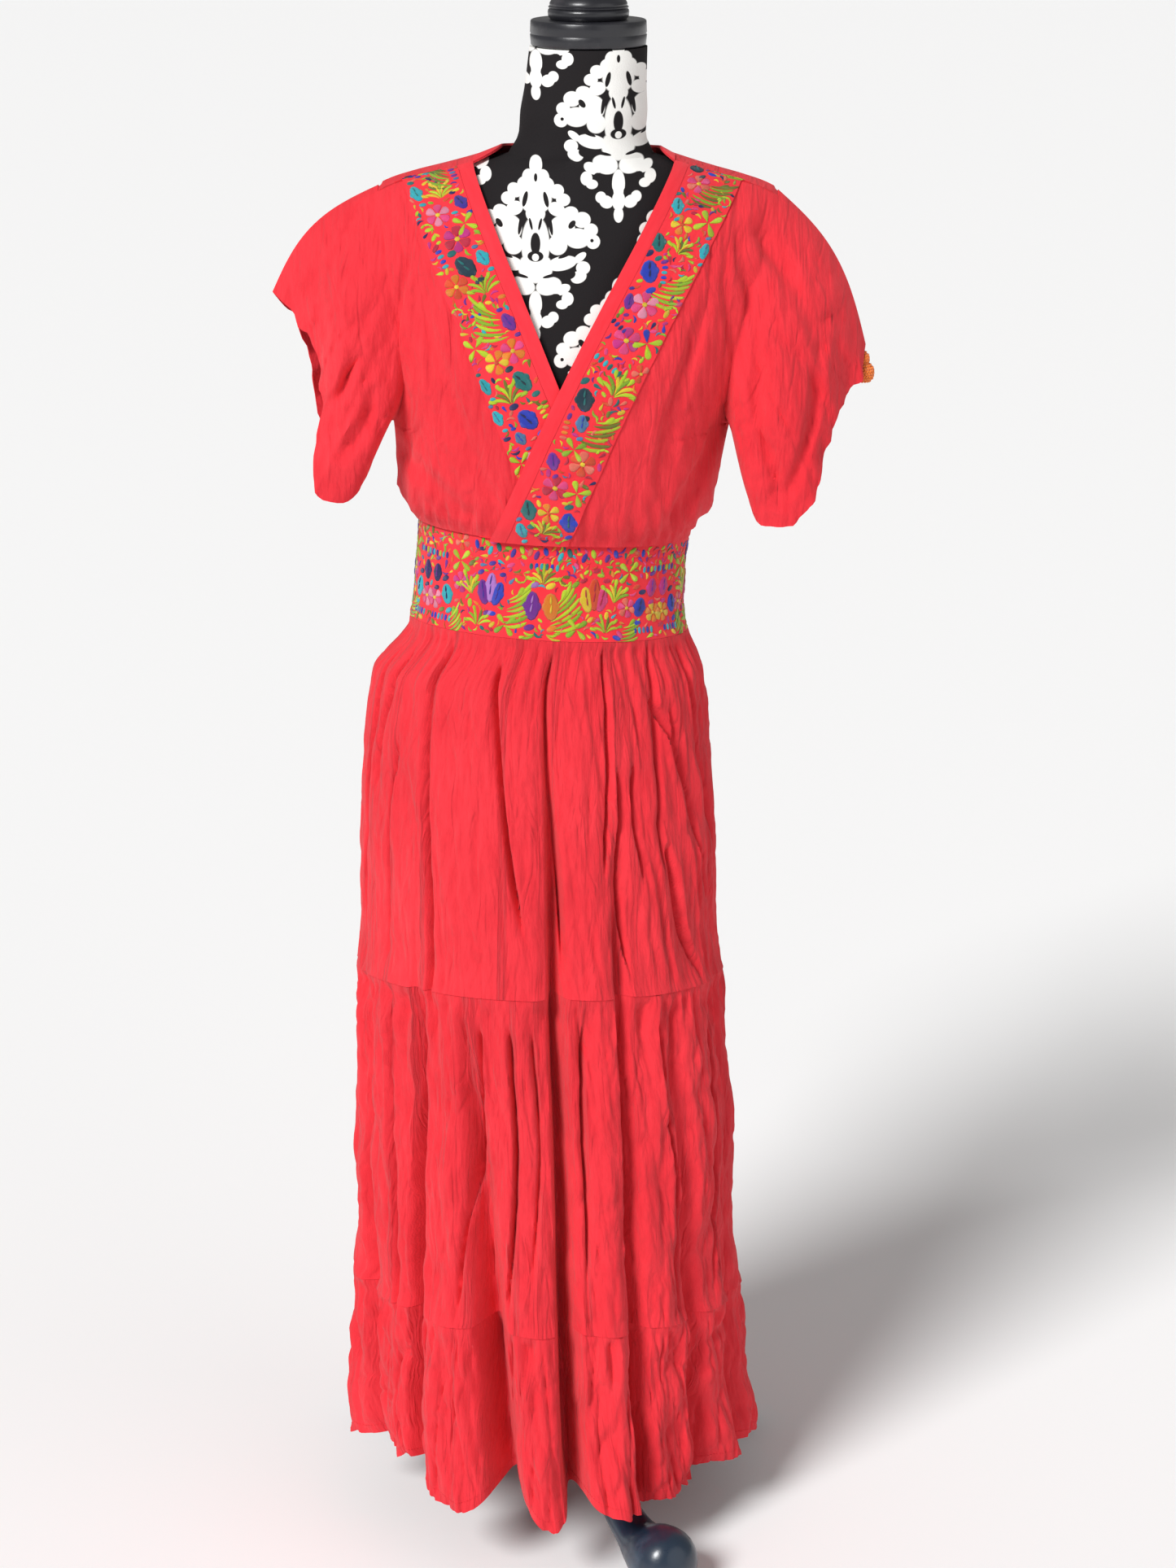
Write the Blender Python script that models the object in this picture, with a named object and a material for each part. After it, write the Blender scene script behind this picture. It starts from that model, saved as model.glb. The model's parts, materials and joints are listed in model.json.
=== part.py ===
"""Embroidered wrap dress on a limbless dress form with a wooden tripod stand.

Metres, +Z up, the floor at z = 0, the front towards -Y and the wearer's left towards +X.
The form leans a little to the wearer's left, as it stands in use, so every body section is
measured from an axis that moves sideways with height. Cloth pieces are thin walls: a sheet
of points is worked out from the sizes, and the wall's inner side follows its normals.
"""

import math

import bpy
from mathutils import Vector

# Walls and gaps
CLOTH = 0.0012
TRIM = 0.0010
BAND_WALL = 0.0016
SEAM = 0.0003
REST = 0.0054

# The body axis: where it crosses the waist, and how far it moves sideways for each metre up
WAIST_Z = 0.965
AXIS_AT_WAIST = -0.019
LEAN = 0.072

# Heights of the dress
BACK_SEAM_Z = 1.275
ARMPIT_Z = 1.110
SHOULDER_ROUND = 0.100
SHOULDER_TILT = -0.012
SHOULDER_END = 0.185
FRONT_SEAM_DROP = 0.0045
NECK_SIDE = 0.073
BACK_NECK_DROP = 0.033

# Widths of the neck trim, square to the neckline
BINDING_WIDTH = 0.013
BAND_WIDTH = 0.051
EDGE_SLANT = 0.90
OVERLAP_STEP = 0.0040

# Half widths and depths of the bodice from its axis
BODICE_COLUMNS = ("height", "half_width", "front", "back")
BODICE = (
    (1.430, 0.205, 0.096, 0.096),
    (1.330, 0.205, 0.099, 0.097),
    (1.270, 0.203, 0.108, 0.100),
    (1.220, 0.192, 0.121, 0.102),
    (1.165, 0.176, 0.131, 0.104),
    (1.110, 0.158, 0.129, 0.106),
    (1.070, 0.152, 0.123, 0.107),
    (1.035, 0.142, 0.114, 0.103),
    (1.012, 0.129, 0.102, 0.095),
    (0.980, 0.127, 0.100, 0.094),
)

# The same for the dress form's own torso
TORSO = (
    (1.430, 0.184, 0.092, 0.092),
    (1.330, 0.184, 0.093, 0.091),
    (1.270, 0.178, 0.099, 0.095),
    (1.220, 0.168, 0.112, 0.095),
    (1.165, 0.152, 0.122, 0.093),
    (1.110, 0.142, 0.112, 0.090),
    (1.060, 0.129, 0.097, 0.086),
    (1.012, 0.118, 0.088, 0.082),
    (0.965, 0.113, 0.084, 0.080),
    (0.920, 0.120, 0.087, 0.086),
    (0.860, 0.139, 0.095, 0.098),
    (0.800, 0.154, 0.101, 0.109),
    (0.740, 0.158, 0.103, 0.112),
    (0.690, 0.154, 0.100, 0.106),
    (0.660, 0.146, 0.095, 0.099),
)
NECK_COLUMNS = ("height", "half_width", "front", "back")
NECK = (
    (1.4565, 0.0540, 0.0530, 0.0530),
    (1.4200, 0.0560, 0.0550, 0.0555),
    (1.3950, 0.0585, 0.0570, 0.0575),
    (1.3750, 0.0580, 0.0560, 0.0560),
    (1.3590, 0.0600, 0.0560, 0.0555),
)

# The shoulder's top line, from the neck outwards
RIDGE_COLUMNS = ("across", "height")
RIDGE = (
    (0.000, 1.390),
    (0.050, 1.378),
    (0.073, 1.365),
    (0.100, 1.356),
    (0.125, 1.349),
    (0.150, 1.3425),
    (0.170, 1.3360),
    (0.185, 1.3280),
    (0.205, 1.308),
)

# The armhole line on the bodice, where the cut-on sleeve starts: height and distance across
ARMHOLE_COLUMNS = ("height", "across")
ARMHOLE = (
    (1.325, 0.185),
    (1.300, 0.181),
    (1.250, 0.168),
    (1.200, 0.157),
    (1.150, 0.151),
    (1.125, 0.1530),
    (1.110, 0.1580),
)

# The two crossed neckline edges: height, and distance across from the axis
NECKLINE_COLUMNS = ("height", "across")
NECKLINE = {
    -1: ((1.3520, -0.0980), (1.1620, -0.0047), (1.0130, 0.0640)),
    1: ((1.3540, 0.0860), (1.1620, -0.0047), (1.0130, -0.0600)),
}

# The sleeve's hem, for each side of the body and each half of the sleeve. along runs from
# the top of the arm (0) to the underarm seam (1); across is measured from the axis.
SLEEVE_HEM_COLUMNS = ("along", "across", "forward", "height")
SLEEVE_HEM = {
    (-1, "front"): (
        (0.00, 0.2780, 0.000, 1.231),
        (0.12, 0.2470, 0.030, 1.205),
        (0.26, 0.2300, 0.056, 1.165),
        (0.40, 0.2225, 0.072, 1.130),
        (0.52, 0.2250, 0.082, 1.098),
        (0.63, 0.2215, 0.088, 1.062),
        (0.72, 0.1970, 0.090, 1.048),
        (0.82, 0.1800, 0.076, 1.066),
        (0.92, 0.1730, 0.042, 1.092),
        (1.00, 0.1700, 0.000, 1.109),
    ),
    (1, "front"): (
        (0.00, 0.2790, 0.000, 1.182),
        (0.10, 0.2750, 0.022, 1.158),
        (0.20, 0.2620, 0.040, 1.140),
        (0.32, 0.2560, 0.060, 1.116),
        (0.44, 0.2450, 0.076, 1.090),
        (0.56, 0.2420, 0.088, 1.063),
        (0.65, 0.2340, 0.092, 1.046),
        (0.74, 0.2140, 0.094, 1.032),
        (0.83, 0.1900, 0.084, 1.028),
        (0.92, 0.1720, 0.050, 1.064),
        (1.00, 0.1660, 0.000, 1.102),
    ),
    (-1, "back"): (
        (0.00, 0.2780, 0.000, 1.231),
        (0.14, 0.2560, 0.030, 1.198),
        (0.30, 0.2400, 0.058, 1.155),
        (0.44, 0.2320, 0.072, 1.115),
        (0.57, 0.2260, 0.080, 1.075),
        (0.68, 0.2030, 0.080, 1.050),
        (0.79, 0.1840, 0.066, 1.056),
        (0.90, 0.1730, 0.040, 1.082),
        (1.00, 0.1700, 0.000, 1.109),
    ),
    (1, "back"): (
        (0.00, 0.2790, 0.000, 1.182),
        (0.14, 0.2680, 0.032, 1.150),
        (0.30, 0.2560, 0.058, 1.118),
        (0.44, 0.2460, 0.072, 1.088),
        (0.57, 0.2340, 0.080, 1.058),
        (0.68, 0.2080, 0.080, 1.040),
        (0.79, 0.1850, 0.066, 1.046),
        (0.90, 0.1720, 0.040, 1.076),
        (1.00, 0.1660, 0.000, 1.102),
    ),
}

# How far the sleeve swells out between the armhole and the hem
SLEEVE_SWELL_COLUMNS = ("along", "across", "forward", "height")
SLEEVE_SWELL = (
    (0.00, 0.0120, 0.000, 0.0115),
    (0.25, 0.0090, 0.009, 0.0080),
    (0.55, 0.0030, 0.013, 0.0020),
    (0.85, -0.0020, 0.008, 0.0040),
    (1.00, 0.0000, 0.000, 0.0030),
)

# The largest folds of the bodice and sleeves, as troughs seen from the front or the back:
# the side of the body, both ends, half the trough's width and its depth
CREASE_COLUMNS = ("across_1", "height_1", "across_2", "height_2", "half_width", "depth")
FRONT_CREASES = {
    -1: (
        (-0.196, 1.180, -0.222, 1.132, 0.012, 0.009),
        (-0.176, 1.150, -0.200, 1.095, 0.012, 0.010),
        (-0.150, 1.090, -0.085, 1.040, 0.014, 0.006),
        (-0.230, 1.262, -0.262, 1.216, 0.014, 0.008),
        (-0.135, 1.250, -0.100, 1.120, 0.016, 0.004),
    ),
    1: (
        (0.166, 1.300, 0.232, 1.185, 0.013, 0.011),
        (0.150, 1.290, 0.180, 1.130, 0.011, 0.007),
        (0.232, 1.185, 0.214, 1.060, 0.011, 0.010),
        (0.150, 1.128, 0.110, 1.035, 0.013, 0.008),
        (0.125, 1.240, 0.096, 1.060, 0.012, 0.005),
        (0.180, 1.110, 0.206, 1.050, 0.010, 0.007),
    ),
}
BACK_CREASES = (
    (-0.215, 1.285, -0.238, 1.140, 0.014, 0.010),
    (-0.170, 1.240, -0.205, 1.085, 0.013, 0.009),
    (-0.110, 1.250, -0.080, 1.040, 0.015, 0.006),
    (-0.040, 1.255, -0.030, 1.040, 0.014, 0.005),
    (0.032, 1.255, 0.026, 1.040, 0.014, 0.006),
    (0.105, 1.250, 0.076, 1.040, 0.015, 0.006),
    (0.166, 1.240, 0.200, 1.080, 0.013, 0.009),
    (0.214, 1.280, 0.240, 1.120, 0.014, 0.010),
)

# The skirt's sections, with the centre of each across the part
SKIRT_COLUMNS = ("height", "centre", "half_width", "front", "back")
SKIRT = (
    (0.940, -0.022, 0.1295, 0.1020, 0.0960),
    (0.915, -0.023, 0.1330, 0.1040, 0.0990),
    (0.870, -0.031, 0.1590, 0.1150, 0.1160),
    (0.800, -0.033, 0.1670, 0.1260, 0.1310),
    (0.700, -0.032, 0.1735, 0.1360, 0.1440),
    (0.620, -0.032, 0.1750, 0.1430, 0.1515),
    (0.570, -0.032, 0.1800, 0.1480, 0.1570),
    (0.437, -0.029, 0.1880, 0.1660, 0.1740),
    (0.296, -0.028, 0.1930, 0.1870, 0.1910),
    (0.153, -0.026, 0.2020, 0.2120, 0.2160),
    (0.060, -0.019, 0.2050, 0.2280, 0.2340),
)

# The skirt's hanging folds, all round: where each starts, its bearing there and at the hem
# (degrees from the front towards the wearer's left), depth and half width at the hem
FOLD_COLUMNS = ("start", "bearing_top", "bearing_hem", "depth", "half_width")
HANGING_FOLDS = (
    (0.640, -41.0, -43.0, 0.044, 6.0),
    (0.560, -22.0, -12.0, 0.080, 9.0),
    (0.850, 5.0, 8.5, 0.072, 6.0),
    (0.750, 27.0, 31.0, 0.048, 6.0),
    (0.570, 47.0, 58.0, 0.036, 7.0),
    (0.690, 75.0, 79.0, 0.030, 7.0),
    (0.580, 98.0, 100.0, 0.044, 7.5),
    (0.720, 122.0, 123.0, 0.036, 7.0),
    (0.590, 147.0, 145.0, 0.058, 8.0),
    (0.800, 172.0, 169.0, 0.050, 6.5),
    (0.570, 197.0, 195.0, 0.064, 9.0),
    (0.700, 222.0, 221.0, 0.040, 7.0),
    (0.600, 247.0, 246.0, 0.048, 7.5),
    (0.740, 272.0, 270.0, 0.030, 6.5),
    (0.590, 291.0, 289.0, 0.034, 6.5),
)

# Broad swells between the folds near the hem: bearing, half width in degrees, where each
# starts, and how far it stands out (or in, below 0) at the hem
SWELL_COLUMNS = ("bearing", "half_width", "start", "out")
HEM_SWELLS = (
    (-64.0, 22.0, 0.46, -0.034),
    (-28.0, 14.0, 0.40, 0.010),
    (-1.0, 9.0, 0.40, 0.016),
    (45.0, 14.0, 0.40, -0.020),
    (70.0, 14.0, 0.40, -0.012),
    (111.0, 14.0, 0.40, 0.008),
    (134.0, 14.0, 0.40, -0.014),
    (158.0, 12.0, 0.40, 0.012),
    (181.0, 14.0, 0.44, 0.010),
    (208.0, 14.0, 0.40, -0.012),
    (234.0, 14.0, 0.40, 0.010),
    (258.0, 14.0, 0.40, -0.010),
)

# Small tucks and gathers along the three skirt seams
TIER_COLUMNS = ("name", "tucks", "tuck_depth", "seed", "rows")
TIERS = (
    ("skirt_upper", 20, 0.0065, 3, 6),
    ("skirt_middle", 22, 0.0060, 7, 5),
    ("skirt_lower", 24, 0.0055, 11, 4),
)
TUCK_JITTER = 0.22
TUCK_RAMP = 0.022
FOLD_GROWTH = 0.75
FOLD_SHARP = 0.78
FOLD_BROAD = 2.6
MIN_TURN = 2.3

# Stand
POLE_X = -0.030
POLE_RADIUS = 0.015
LEG_BEARINGS = (-60.0, 38.0, 135.0)
TORSO_BASE_Z = 0.660
CAP_Z = 1.4570
CAP_RADIUS = 0.0535
CAP_HEIGHT = 0.0235
FINIAL_TOP = 1.562


def column(table, names, name):
    return [row[names.index(name)] for row in table]


def smooth(at, places, values):
    """A smooth curve through a table, flat past its ends."""
    if places[0] > places[-1]:
        places, values = places[::-1], values[::-1]
    if at <= places[0]:
        return values[0]
    if at >= places[-1]:
        return values[-1]
    k = next(i for i in range(len(places) - 1) if at <= places[i + 1])
    step = places[k + 1] - places[k]
    rise = (values[k + 1] - values[k]) / step

    def slope(i):
        if i <= 0 or i >= len(places) - 1:
            return rise
        left = (values[i] - values[i - 1]) / (places[i] - places[i - 1])
        right = (values[i + 1] - values[i]) / (places[i + 1] - places[i])
        return 0.0 if left * right <= 0 else 2 * left * right / (left + right)

    t = (at - places[k]) / step
    s0, s1 = slope(k) * step, slope(k + 1) * step
    return (
        values[k] * (1 + 2 * t) * (1 - t) ** 2
        + s0 * t * (1 - t) ** 2
        + values[k + 1] * t * t * (3 - 2 * t)
        + s1 * t * t * (t - 1)
    )


def ramp(at, low, high):
    """0 below low, 1 above high, smooth between."""
    t = min(1.0, max(0.0, (at - low) / (high - low)))
    return t * t * (3 - 2 * t)


def mix(a, b, t):
    return a + (b - a) * t


def axis_x(z):
    return AXIS_AT_WAIST + LEAN * (z - WAIST_Z)


class Body:
    """The outside of a torso: elliptical sections under two sloping, rounded shoulders."""

    def __init__(self, table, inset):
        self.heights = column(table, BODICE_COLUMNS, "height")
        self.widths = column(table, BODICE_COLUMNS, "half_width")
        self.fronts = column(table, BODICE_COLUMNS, "front")
        self.backs = column(table, BODICE_COLUMNS, "back")
        self.ridge_x = column(RIDGE, RIDGE_COLUMNS, "across")
        self.ridge_z = column(RIDGE, RIDGE_COLUMNS, "height")
        self.inset = inset

    def half_width(self, z):
        return smooth(z, self.heights, self.widths)

    def depth(self, z, back):
        return smooth(z, self.heights, self.backs if back else self.fronts)

    def ridge(self, x):
        return smooth(abs(x), self.ridge_x, self.ridge_z) + SHOULDER_TILT * x - self.inset

    def cap(self, x, z):
        """1 under the shoulder's rounding, falling to 0 on its top line."""
        t = (z - (self.ridge(x) - SHOULDER_ROUND)) / SHOULDER_ROUND
        return 1 - min(1.0, max(0.0, t)) ** 2

    def y(self, x, z, back):
        across = 1 - min(1.0, (x / self.half_width(z)) ** 2)
        d = self.depth(z, back) * math.sqrt(across * self.cap(x, z))
        return d if back else -d

    def normal(self, x, y, z, back):
        """The outward normal, from the slope of the implicit surface."""

        def g(px, py, pz):
            across = 1 - (px / self.half_width(pz)) ** 2
            return (py / self.depth(pz, back)) ** 2 - across * self.cap(px, pz)

        e = 1e-4
        gx = g(x + e, y, z) - g(x - e, y, z)
        gy = g(x, y + e, z) - g(x, y - e, z)
        gz = g(x, y, z + e) - g(x, y, z - e)
        return Vector((gx, gy, gz - LEAN * gx)).normalized()

    def point(self, x, z, back=False):
        """(the point in the part's frame, its normal) at a distance across from the axis."""
        y = self.y(x, z, back)
        return Vector((axis_x(z) + x, y, z)), self.normal(x, y, z, back)


BODICE_BODY = Body(BODICE, 0.0)
FORM_BODY = Body(TORSO, REST)


def waist_top(x, forward):
    return 1.0105 - 0.070 * x + 0.003 * forward


def waist_bottom(x, forward):
    return 0.9170 - 0.058 * x + 0.005 * forward


def material(name, colour, roughness, metallic=0.0):
    found = bpy.data.materials.get(name)
    if found:
        return found
    made = bpy.data.materials.new(name)
    made.use_nodes = True
    shader = made.node_tree.nodes["Principled BSDF"]
    shader.inputs["Base Color"].default_value = (*colour, 1.0)
    shader.inputs["Roughness"].default_value = roughness
    shader.inputs["Metallic"].default_value = metallic
    return made


def red_cloth():
    return material("red_gauze", (0.83, 0.03, 0.05), 0.85)


def embroidery():
    return material("embroidered_band", (0.72, 0.12, 0.08), 0.6)


def black_cover():
    return material("form_cover", (0.02, 0.02, 0.022), 0.8)


def black_wood():
    return material("painted_wood", (0.02, 0.018, 0.02), 0.35)


def add_object(name, points, faces, finish):
    mesh = bpy.data.meshes.new(name)
    mesh.from_pydata([tuple(p) for p in points], [], faces)
    mesh.validate()
    mesh.update()
    mesh.shade_smooth()
    mesh.set_sharp_from_angle(angle=math.radians(50))
    mesh.materials.append(finish)
    obj = bpy.data.objects.new(name, mesh)
    bpy.context.scene.collection.objects.link(obj)
    return obj


def face_normal(points, face):
    a, b, c = (points[i] for i in face)
    return (b - a).cross(c - a)


def sheet_normals(points, faces):
    """Vertex normals of an open sheet, each face counted by its corner's angle."""
    normals = [Vector((0, 0, 0)) for _ in points]
    for face in faces:
        n = face_normal(points, face)
        if n.length < 1e-12:
            continue
        n.normalize()
        for k in range(3):
            here = points[face[k]]
            one = points[face[(k + 1) % 3]] - here
            two = points[face[(k + 2) % 3]] - here
            normals[face[k]] += n * one.angle(two, 0.0)
    return [n.normalized() for n in normals]


def sheet_stretch(points, faces, normals):
    """How much further a vertex moves, so that a wall keeps its thickness over a sharp fold."""
    least = [1.0] * len(points)
    for face in faces:
        n = face_normal(points, face)
        if n.length < 1e-12:
            continue
        n.normalize()
        for i in face:
            least[i] = min(least[i], n.dot(normals[i]))
    return [1 / max(c, 0.55) for c in least]


def wall(name, points, sheet, thickness, finish, fixed=None, gap=0.0, flat_rows=()):
    """A closed wall from a sheet of triangles. The sheet is the wall's outside, or with a
    gap it is what the wall lies on and the wall stands clear of it by that much. fixed gives
    known normals, flat_rows the points whose normals are made level so that neighbouring
    rims stay parallel."""
    normals = sheet_normals(points, sheet)
    for i, n in (fixed or {}).items():
        normals[i] = n
    for i in flat_rows:
        normals[i] = Vector((normals[i].x, normals[i].y, 0)).normalized()
    reach = [n * s for n, s in zip(normals, sheet_stretch(points, sheet, normals))]
    lift = gap + thickness if gap else 0.0
    outer = [p + n * lift for p, n in zip(points, reach)]
    inner = [p + n * (lift - thickness) for p, n in zip(points, reach)]
    count = len(points)
    faces = list(sheet) + [tuple(i + count for i in reversed(f)) for f in sheet]
    edges = {(a, b) for f in sheet for a, b in zip(f, (*f[1:], f[0]))}
    for a, b in sorted(edges):
        if (b, a) not in edges:
            faces.append((b, a, a + count, b + count))
    return add_object(name, outer + inner, faces, finish)


def split_quad(a, b, c, d):
    """A quad as two triangles that share the side from a to c."""
    return [(a, b, c), (a, c, d)]


def turned_over(faces):
    return [tuple(reversed(f)) for f in faces]


def grid_faces(rows, columns, closed=False):
    """Triangles of a grid whose faces point towards the viewer when the columns run left to
    right and the rows run top to bottom."""
    faces = []
    for j in range(rows - 1):
        for i in range(columns if closed else columns - 1):
            k = (i + 1) % columns
            a = j * columns
            b = a + columns
            faces += split_quad(a + i, b + i, b + k, a + k)
    return faces


def crease_depth(x, z, creases):
    """How far the troughs of a table push the cloth in at this place."""
    pushed = 0.0
    for x1, z1, x2, z2, half, depth in creases:
        dx, dz = x2 - x1, z2 - z1
        length2 = dx * dx + dz * dz
        t = ((x - x1) * dx + (z - z1) * dz) / length2
        near = min(1.0, max(0.0, t))
        away = math.hypot(x - x1 - near * dx, z - z1 - near * dz) / half
        if away < 1:
            ends = ramp(near, -0.2, 0.35) * (1 - 0.5 * ramp(near, 0.7, 1.3))
            pushed += depth * ends * (1 + math.cos(math.pi * away)) / 2
    return pushed


def neckline_x(side, z):
    table = NECKLINE[side]
    return smooth(z, column(table, NECKLINE_COLUMNS, "height"), column(table, NECKLINE_COLUMNS, "across"))


def armhole_x(z):
    return smooth(z, column(ARMHOLE, ARMHOLE_COLUMNS, "height"), column(ARMHOLE, ARMHOLE_COLUMNS, "across"))


def armhole_z(side, along):
    """The armhole's height, from the shoulder's top line (0) to the armpit (1)."""
    top = BODICE_BODY.ridge(side * SHOULDER_END)
    if along <= 0:
        return top
    eased = 1 - math.cos(math.pi / 2 * min(1.0, along * 1.25)) if along < 0.25 else None
    low = 1 - math.cos(math.pi / 2 * 0.3125)
    span = top - ARMPIT_Z
    start = 0.18 * span
    if eased is not None:
        return top - start * eased / low
    t = (along - 0.25) / 0.75
    return mix(top - start, ARMPIT_Z, t * (1.25 - 0.25 * t))


def armhole_point(side, along, back):
    z = armhole_z(side, along)
    x = side * (armhole_x(z) if along < 1 else BODICE_BODY.half_width(ARMPIT_Z))
    return BODICE_BODY.point(x, z, back)


def sleeve_point(side, half, along, out):
    """A point of the cut-on sleeve: along from the top of the arm to the underarm seam, out
    from the armhole line to the hem."""
    back = half == "back"
    facing = 1 if back else -1
    start, _ = armhole_point(side, along, back)
    hem = SLEEVE_HEM[(side, half)]
    places = column(hem, SLEEVE_HEM_COLUMNS, "along")
    across = smooth(along, places, column(hem, SLEEVE_HEM_COLUMNS, "across"))
    forward = smooth(along, places, column(hem, SLEEVE_HEM_COLUMNS, "forward"))
    height = smooth(along, places, column(hem, SLEEVE_HEM_COLUMNS, "height"))
    end = Vector((axis_x(height) + side * across, facing * forward, height))
    places = column(SLEEVE_SWELL, SLEEVE_SWELL_COLUMNS, "along")
    swell = Vector(
        (
            side * smooth(along, places, column(SLEEVE_SWELL, SLEEVE_SWELL_COLUMNS, "across")),
            facing * smooth(along, places, column(SLEEVE_SWELL, SLEEVE_SWELL_COLUMNS, "forward")),
            smooth(along, places, column(SLEEVE_SWELL, SLEEVE_SWELL_COLUMNS, "height")),
        )
    )
    p = start.lerp(end, out) + swell * math.sin(math.pi * out)
    creases = BACK_CREASES if back else FRONT_CREASES[side]
    inward = crease_depth(p.x - axis_x(p.z), p.z, creases) * ramp(along, 0, 0.12) * (1 - ramp(along, 0.9, 1))
    p.y -= facing * inward * ramp(out, 0.0, 0.15)
    p.y += facing * SEAM / 2
    return p


ALONG = (0.0, 0.10, 0.20, 0.31, 0.42, 0.53, 0.64, 0.75, 0.86, 0.94, 1.0)
OUT = (0.0, 0.18, 0.36, 0.54, 0.72, 0.88, 1.0)
SIDE_SEAM_ROWS = 4
FRONT_FILL = 9
BAND_STEPS = 3
BACK_COLUMNS = 9


def seam_row(x, side_point_z, forward):
    """Heights of the side seam's rows, from the armpit down to the waistband."""
    low = waist_top(x, forward) + SEAM
    return [mix(side_point_z, low, k / SIDE_SEAM_ROWS) for k in range(1, SIDE_SEAM_ROWS + 1)]


def overlap_lift(side, x, z):
    """The wearer's left front crosses over the right one, so it stands clear of it there."""
    if side < 0:
        return 0.0
    return OVERLAP_STEP * (1 - ramp(z, 1.20, 1.31)) * (1 - ramp(x, 0.095, 0.150))


def front_grid(side):
    """Rows of (point, normal) across one front, from the neckline edge to the armhole line
    and the side seam, and how many of the rows end on the armhole."""
    tops = [armhole_z(side, a) for a in ALONG[1:]]
    side_x = side * BODICE_BODY.half_width(ARMPIT_Z)
    heights = tops + seam_row(side_x, ARMPIT_Z, 0)
    last = len(heights) - 1
    slant_binding = BINDING_WIDTH / EDGE_SLANT
    slant_band = (BINDING_WIDTH + BAND_WIDTH) / EDGE_SLANT
    rows = []
    for j, end_z in enumerate(heights):
        if j < len(tops):
            end_x = side * armhole_x(end_z) if j < len(tops) - 1 else side_x
        else:
            end_x = side * BODICE_BODY.half_width(end_z)
        t = (j / last) ** 0.95
        low_x = neckline_x(side, 1.013)
        edge_z = mix(NECKLINE[side][0][0], waist_top(low_x, 1) + SEAM, t)
        edge_x = neckline_x(side, edge_z)
        across = [0] + [mix(slant_binding, slant_band, k / BAND_STEPS) for k in range(BAND_STEPS + 1)]
        xs = [edge_x + side * c for c in across]
        xs = [side * min(side * x, side * end_x - 0.002 * (5 - k)) for k, x in enumerate(xs)]
        zs = [edge_z] * len(xs)
        wide = BODICE_BODY.half_width(edge_z)
        wide_end = BODICE_BODY.half_width(end_z)
        turn = math.asin(max(-1.0, min(1.0, xs[-1] / wide)))
        turn_end = math.asin(max(-1.0, min(1.0, end_x / wide_end)))
        for k in range(1, FRONT_FILL + 1):
            u = k / FRONT_FILL
            z = mix(edge_z, end_z, ramp(u, -0.15, 1.0) if k < FRONT_FILL else 1.0)
            if j == last:
                angle = mix(turn, turn_end, u)
                z = waist_top(math.sin(angle) * BODICE_BODY.half_width(z), math.cos(angle)) + SEAM
            xs.append(math.sin(mix(turn, turn_end, u)) * BODICE_BODY.half_width(z))
            zs.append(z)
        xs[-1] = end_x
        row = []
        for k, (x, z) in enumerate(zip(xs, zs)):
            top = BODICE_BODY.ridge(x) - FRONT_SEAM_DROP
            z = min(z, top) if j else top
            if j == last:
                forward = math.sqrt(max(0.0, 1 - (x / BODICE_BODY.half_width(z)) ** 2))
                z = waist_top(x, forward) + SEAM
            p, n = BODICE_BODY.point(x, z)
            shore = ramp(z, waist_top(x, 1), waist_top(x, 1) + 0.02)
            p -= n * crease_depth(x, z, FRONT_CREASES[side]) * shore
            p += n * overlap_lift(side, x, z)
            row.append((p, n))
        row[-1][0].y = min(row[-1][0].y, -SEAM / 2)
        rows.append(row)
    return rows, len(tops)


def add_sleeve(points, faces, fixed, seam_points, side, half, armhole_ids):
    """Adds the sleeve grid to a sheet. armhole_ids are the sheet's own points on the
    armhole line, one for each step of ALONG, or None where the yoke's end is beside it.
    Returns the ids of the first column."""
    columns = []
    for i, out in enumerate(OUT):
        ids = []
        for k, along in enumerate(ALONG):
            if i == 0 and armhole_ids[k] is not None:
                ids.append(armhole_ids[k])
                continue
            points.append(sleeve_point(side, half, along, out))
            ids.append(len(points) - 1)
            if i == 0:
                fixed[ids[-1]] = armhole_point(side, along, half == "back")[1]
        seam_points += [ids[0], ids[-1]]
        columns.append(ids)
    facing = side if half == "front" else -side
    for left, right in zip(columns, columns[1:]):
        for k in range(len(ALONG) - 1):
            pair = split_quad(left[k], left[k + 1], right[k + 1], right[k])
            faces += pair if facing > 0 else turned_over(pair)
    return columns[0]


def level_seams(points, faces, fixed, seam_points):
    """Gives the points on the overarm, underarm and side seams normals with no forward
    part, so that the two halves of the garment stay apart all through their walls."""
    normals = sheet_normals(points, faces)
    for i in seam_points:
        n = fixed.get(i, normals[i])
        fixed[i] = Vector((n.x, 0, n.z)).normalized()


def strip_on(name, rows, first, last, inset, thickness, finish, side):
    """A flat trim made from a panel's own points between two columns, moved out."""
    points, normals = [], []
    for row in rows:
        for k in range(first, last + 1):
            p, n = row[k]
            if k == first and inset:
                other = row[k + 1][0]
                p = p.lerp(other, inset / max((other - p).length, 1e-6))
            points.append(p)
            normals.append(n)
    faces = grid_faces(len(rows), last - first + 1)
    if side < 0:
        faces = turned_over(faces)
    return wall(name, points, faces, thickness, finish, dict(enumerate(normals)), gap=SEAM)


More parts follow.
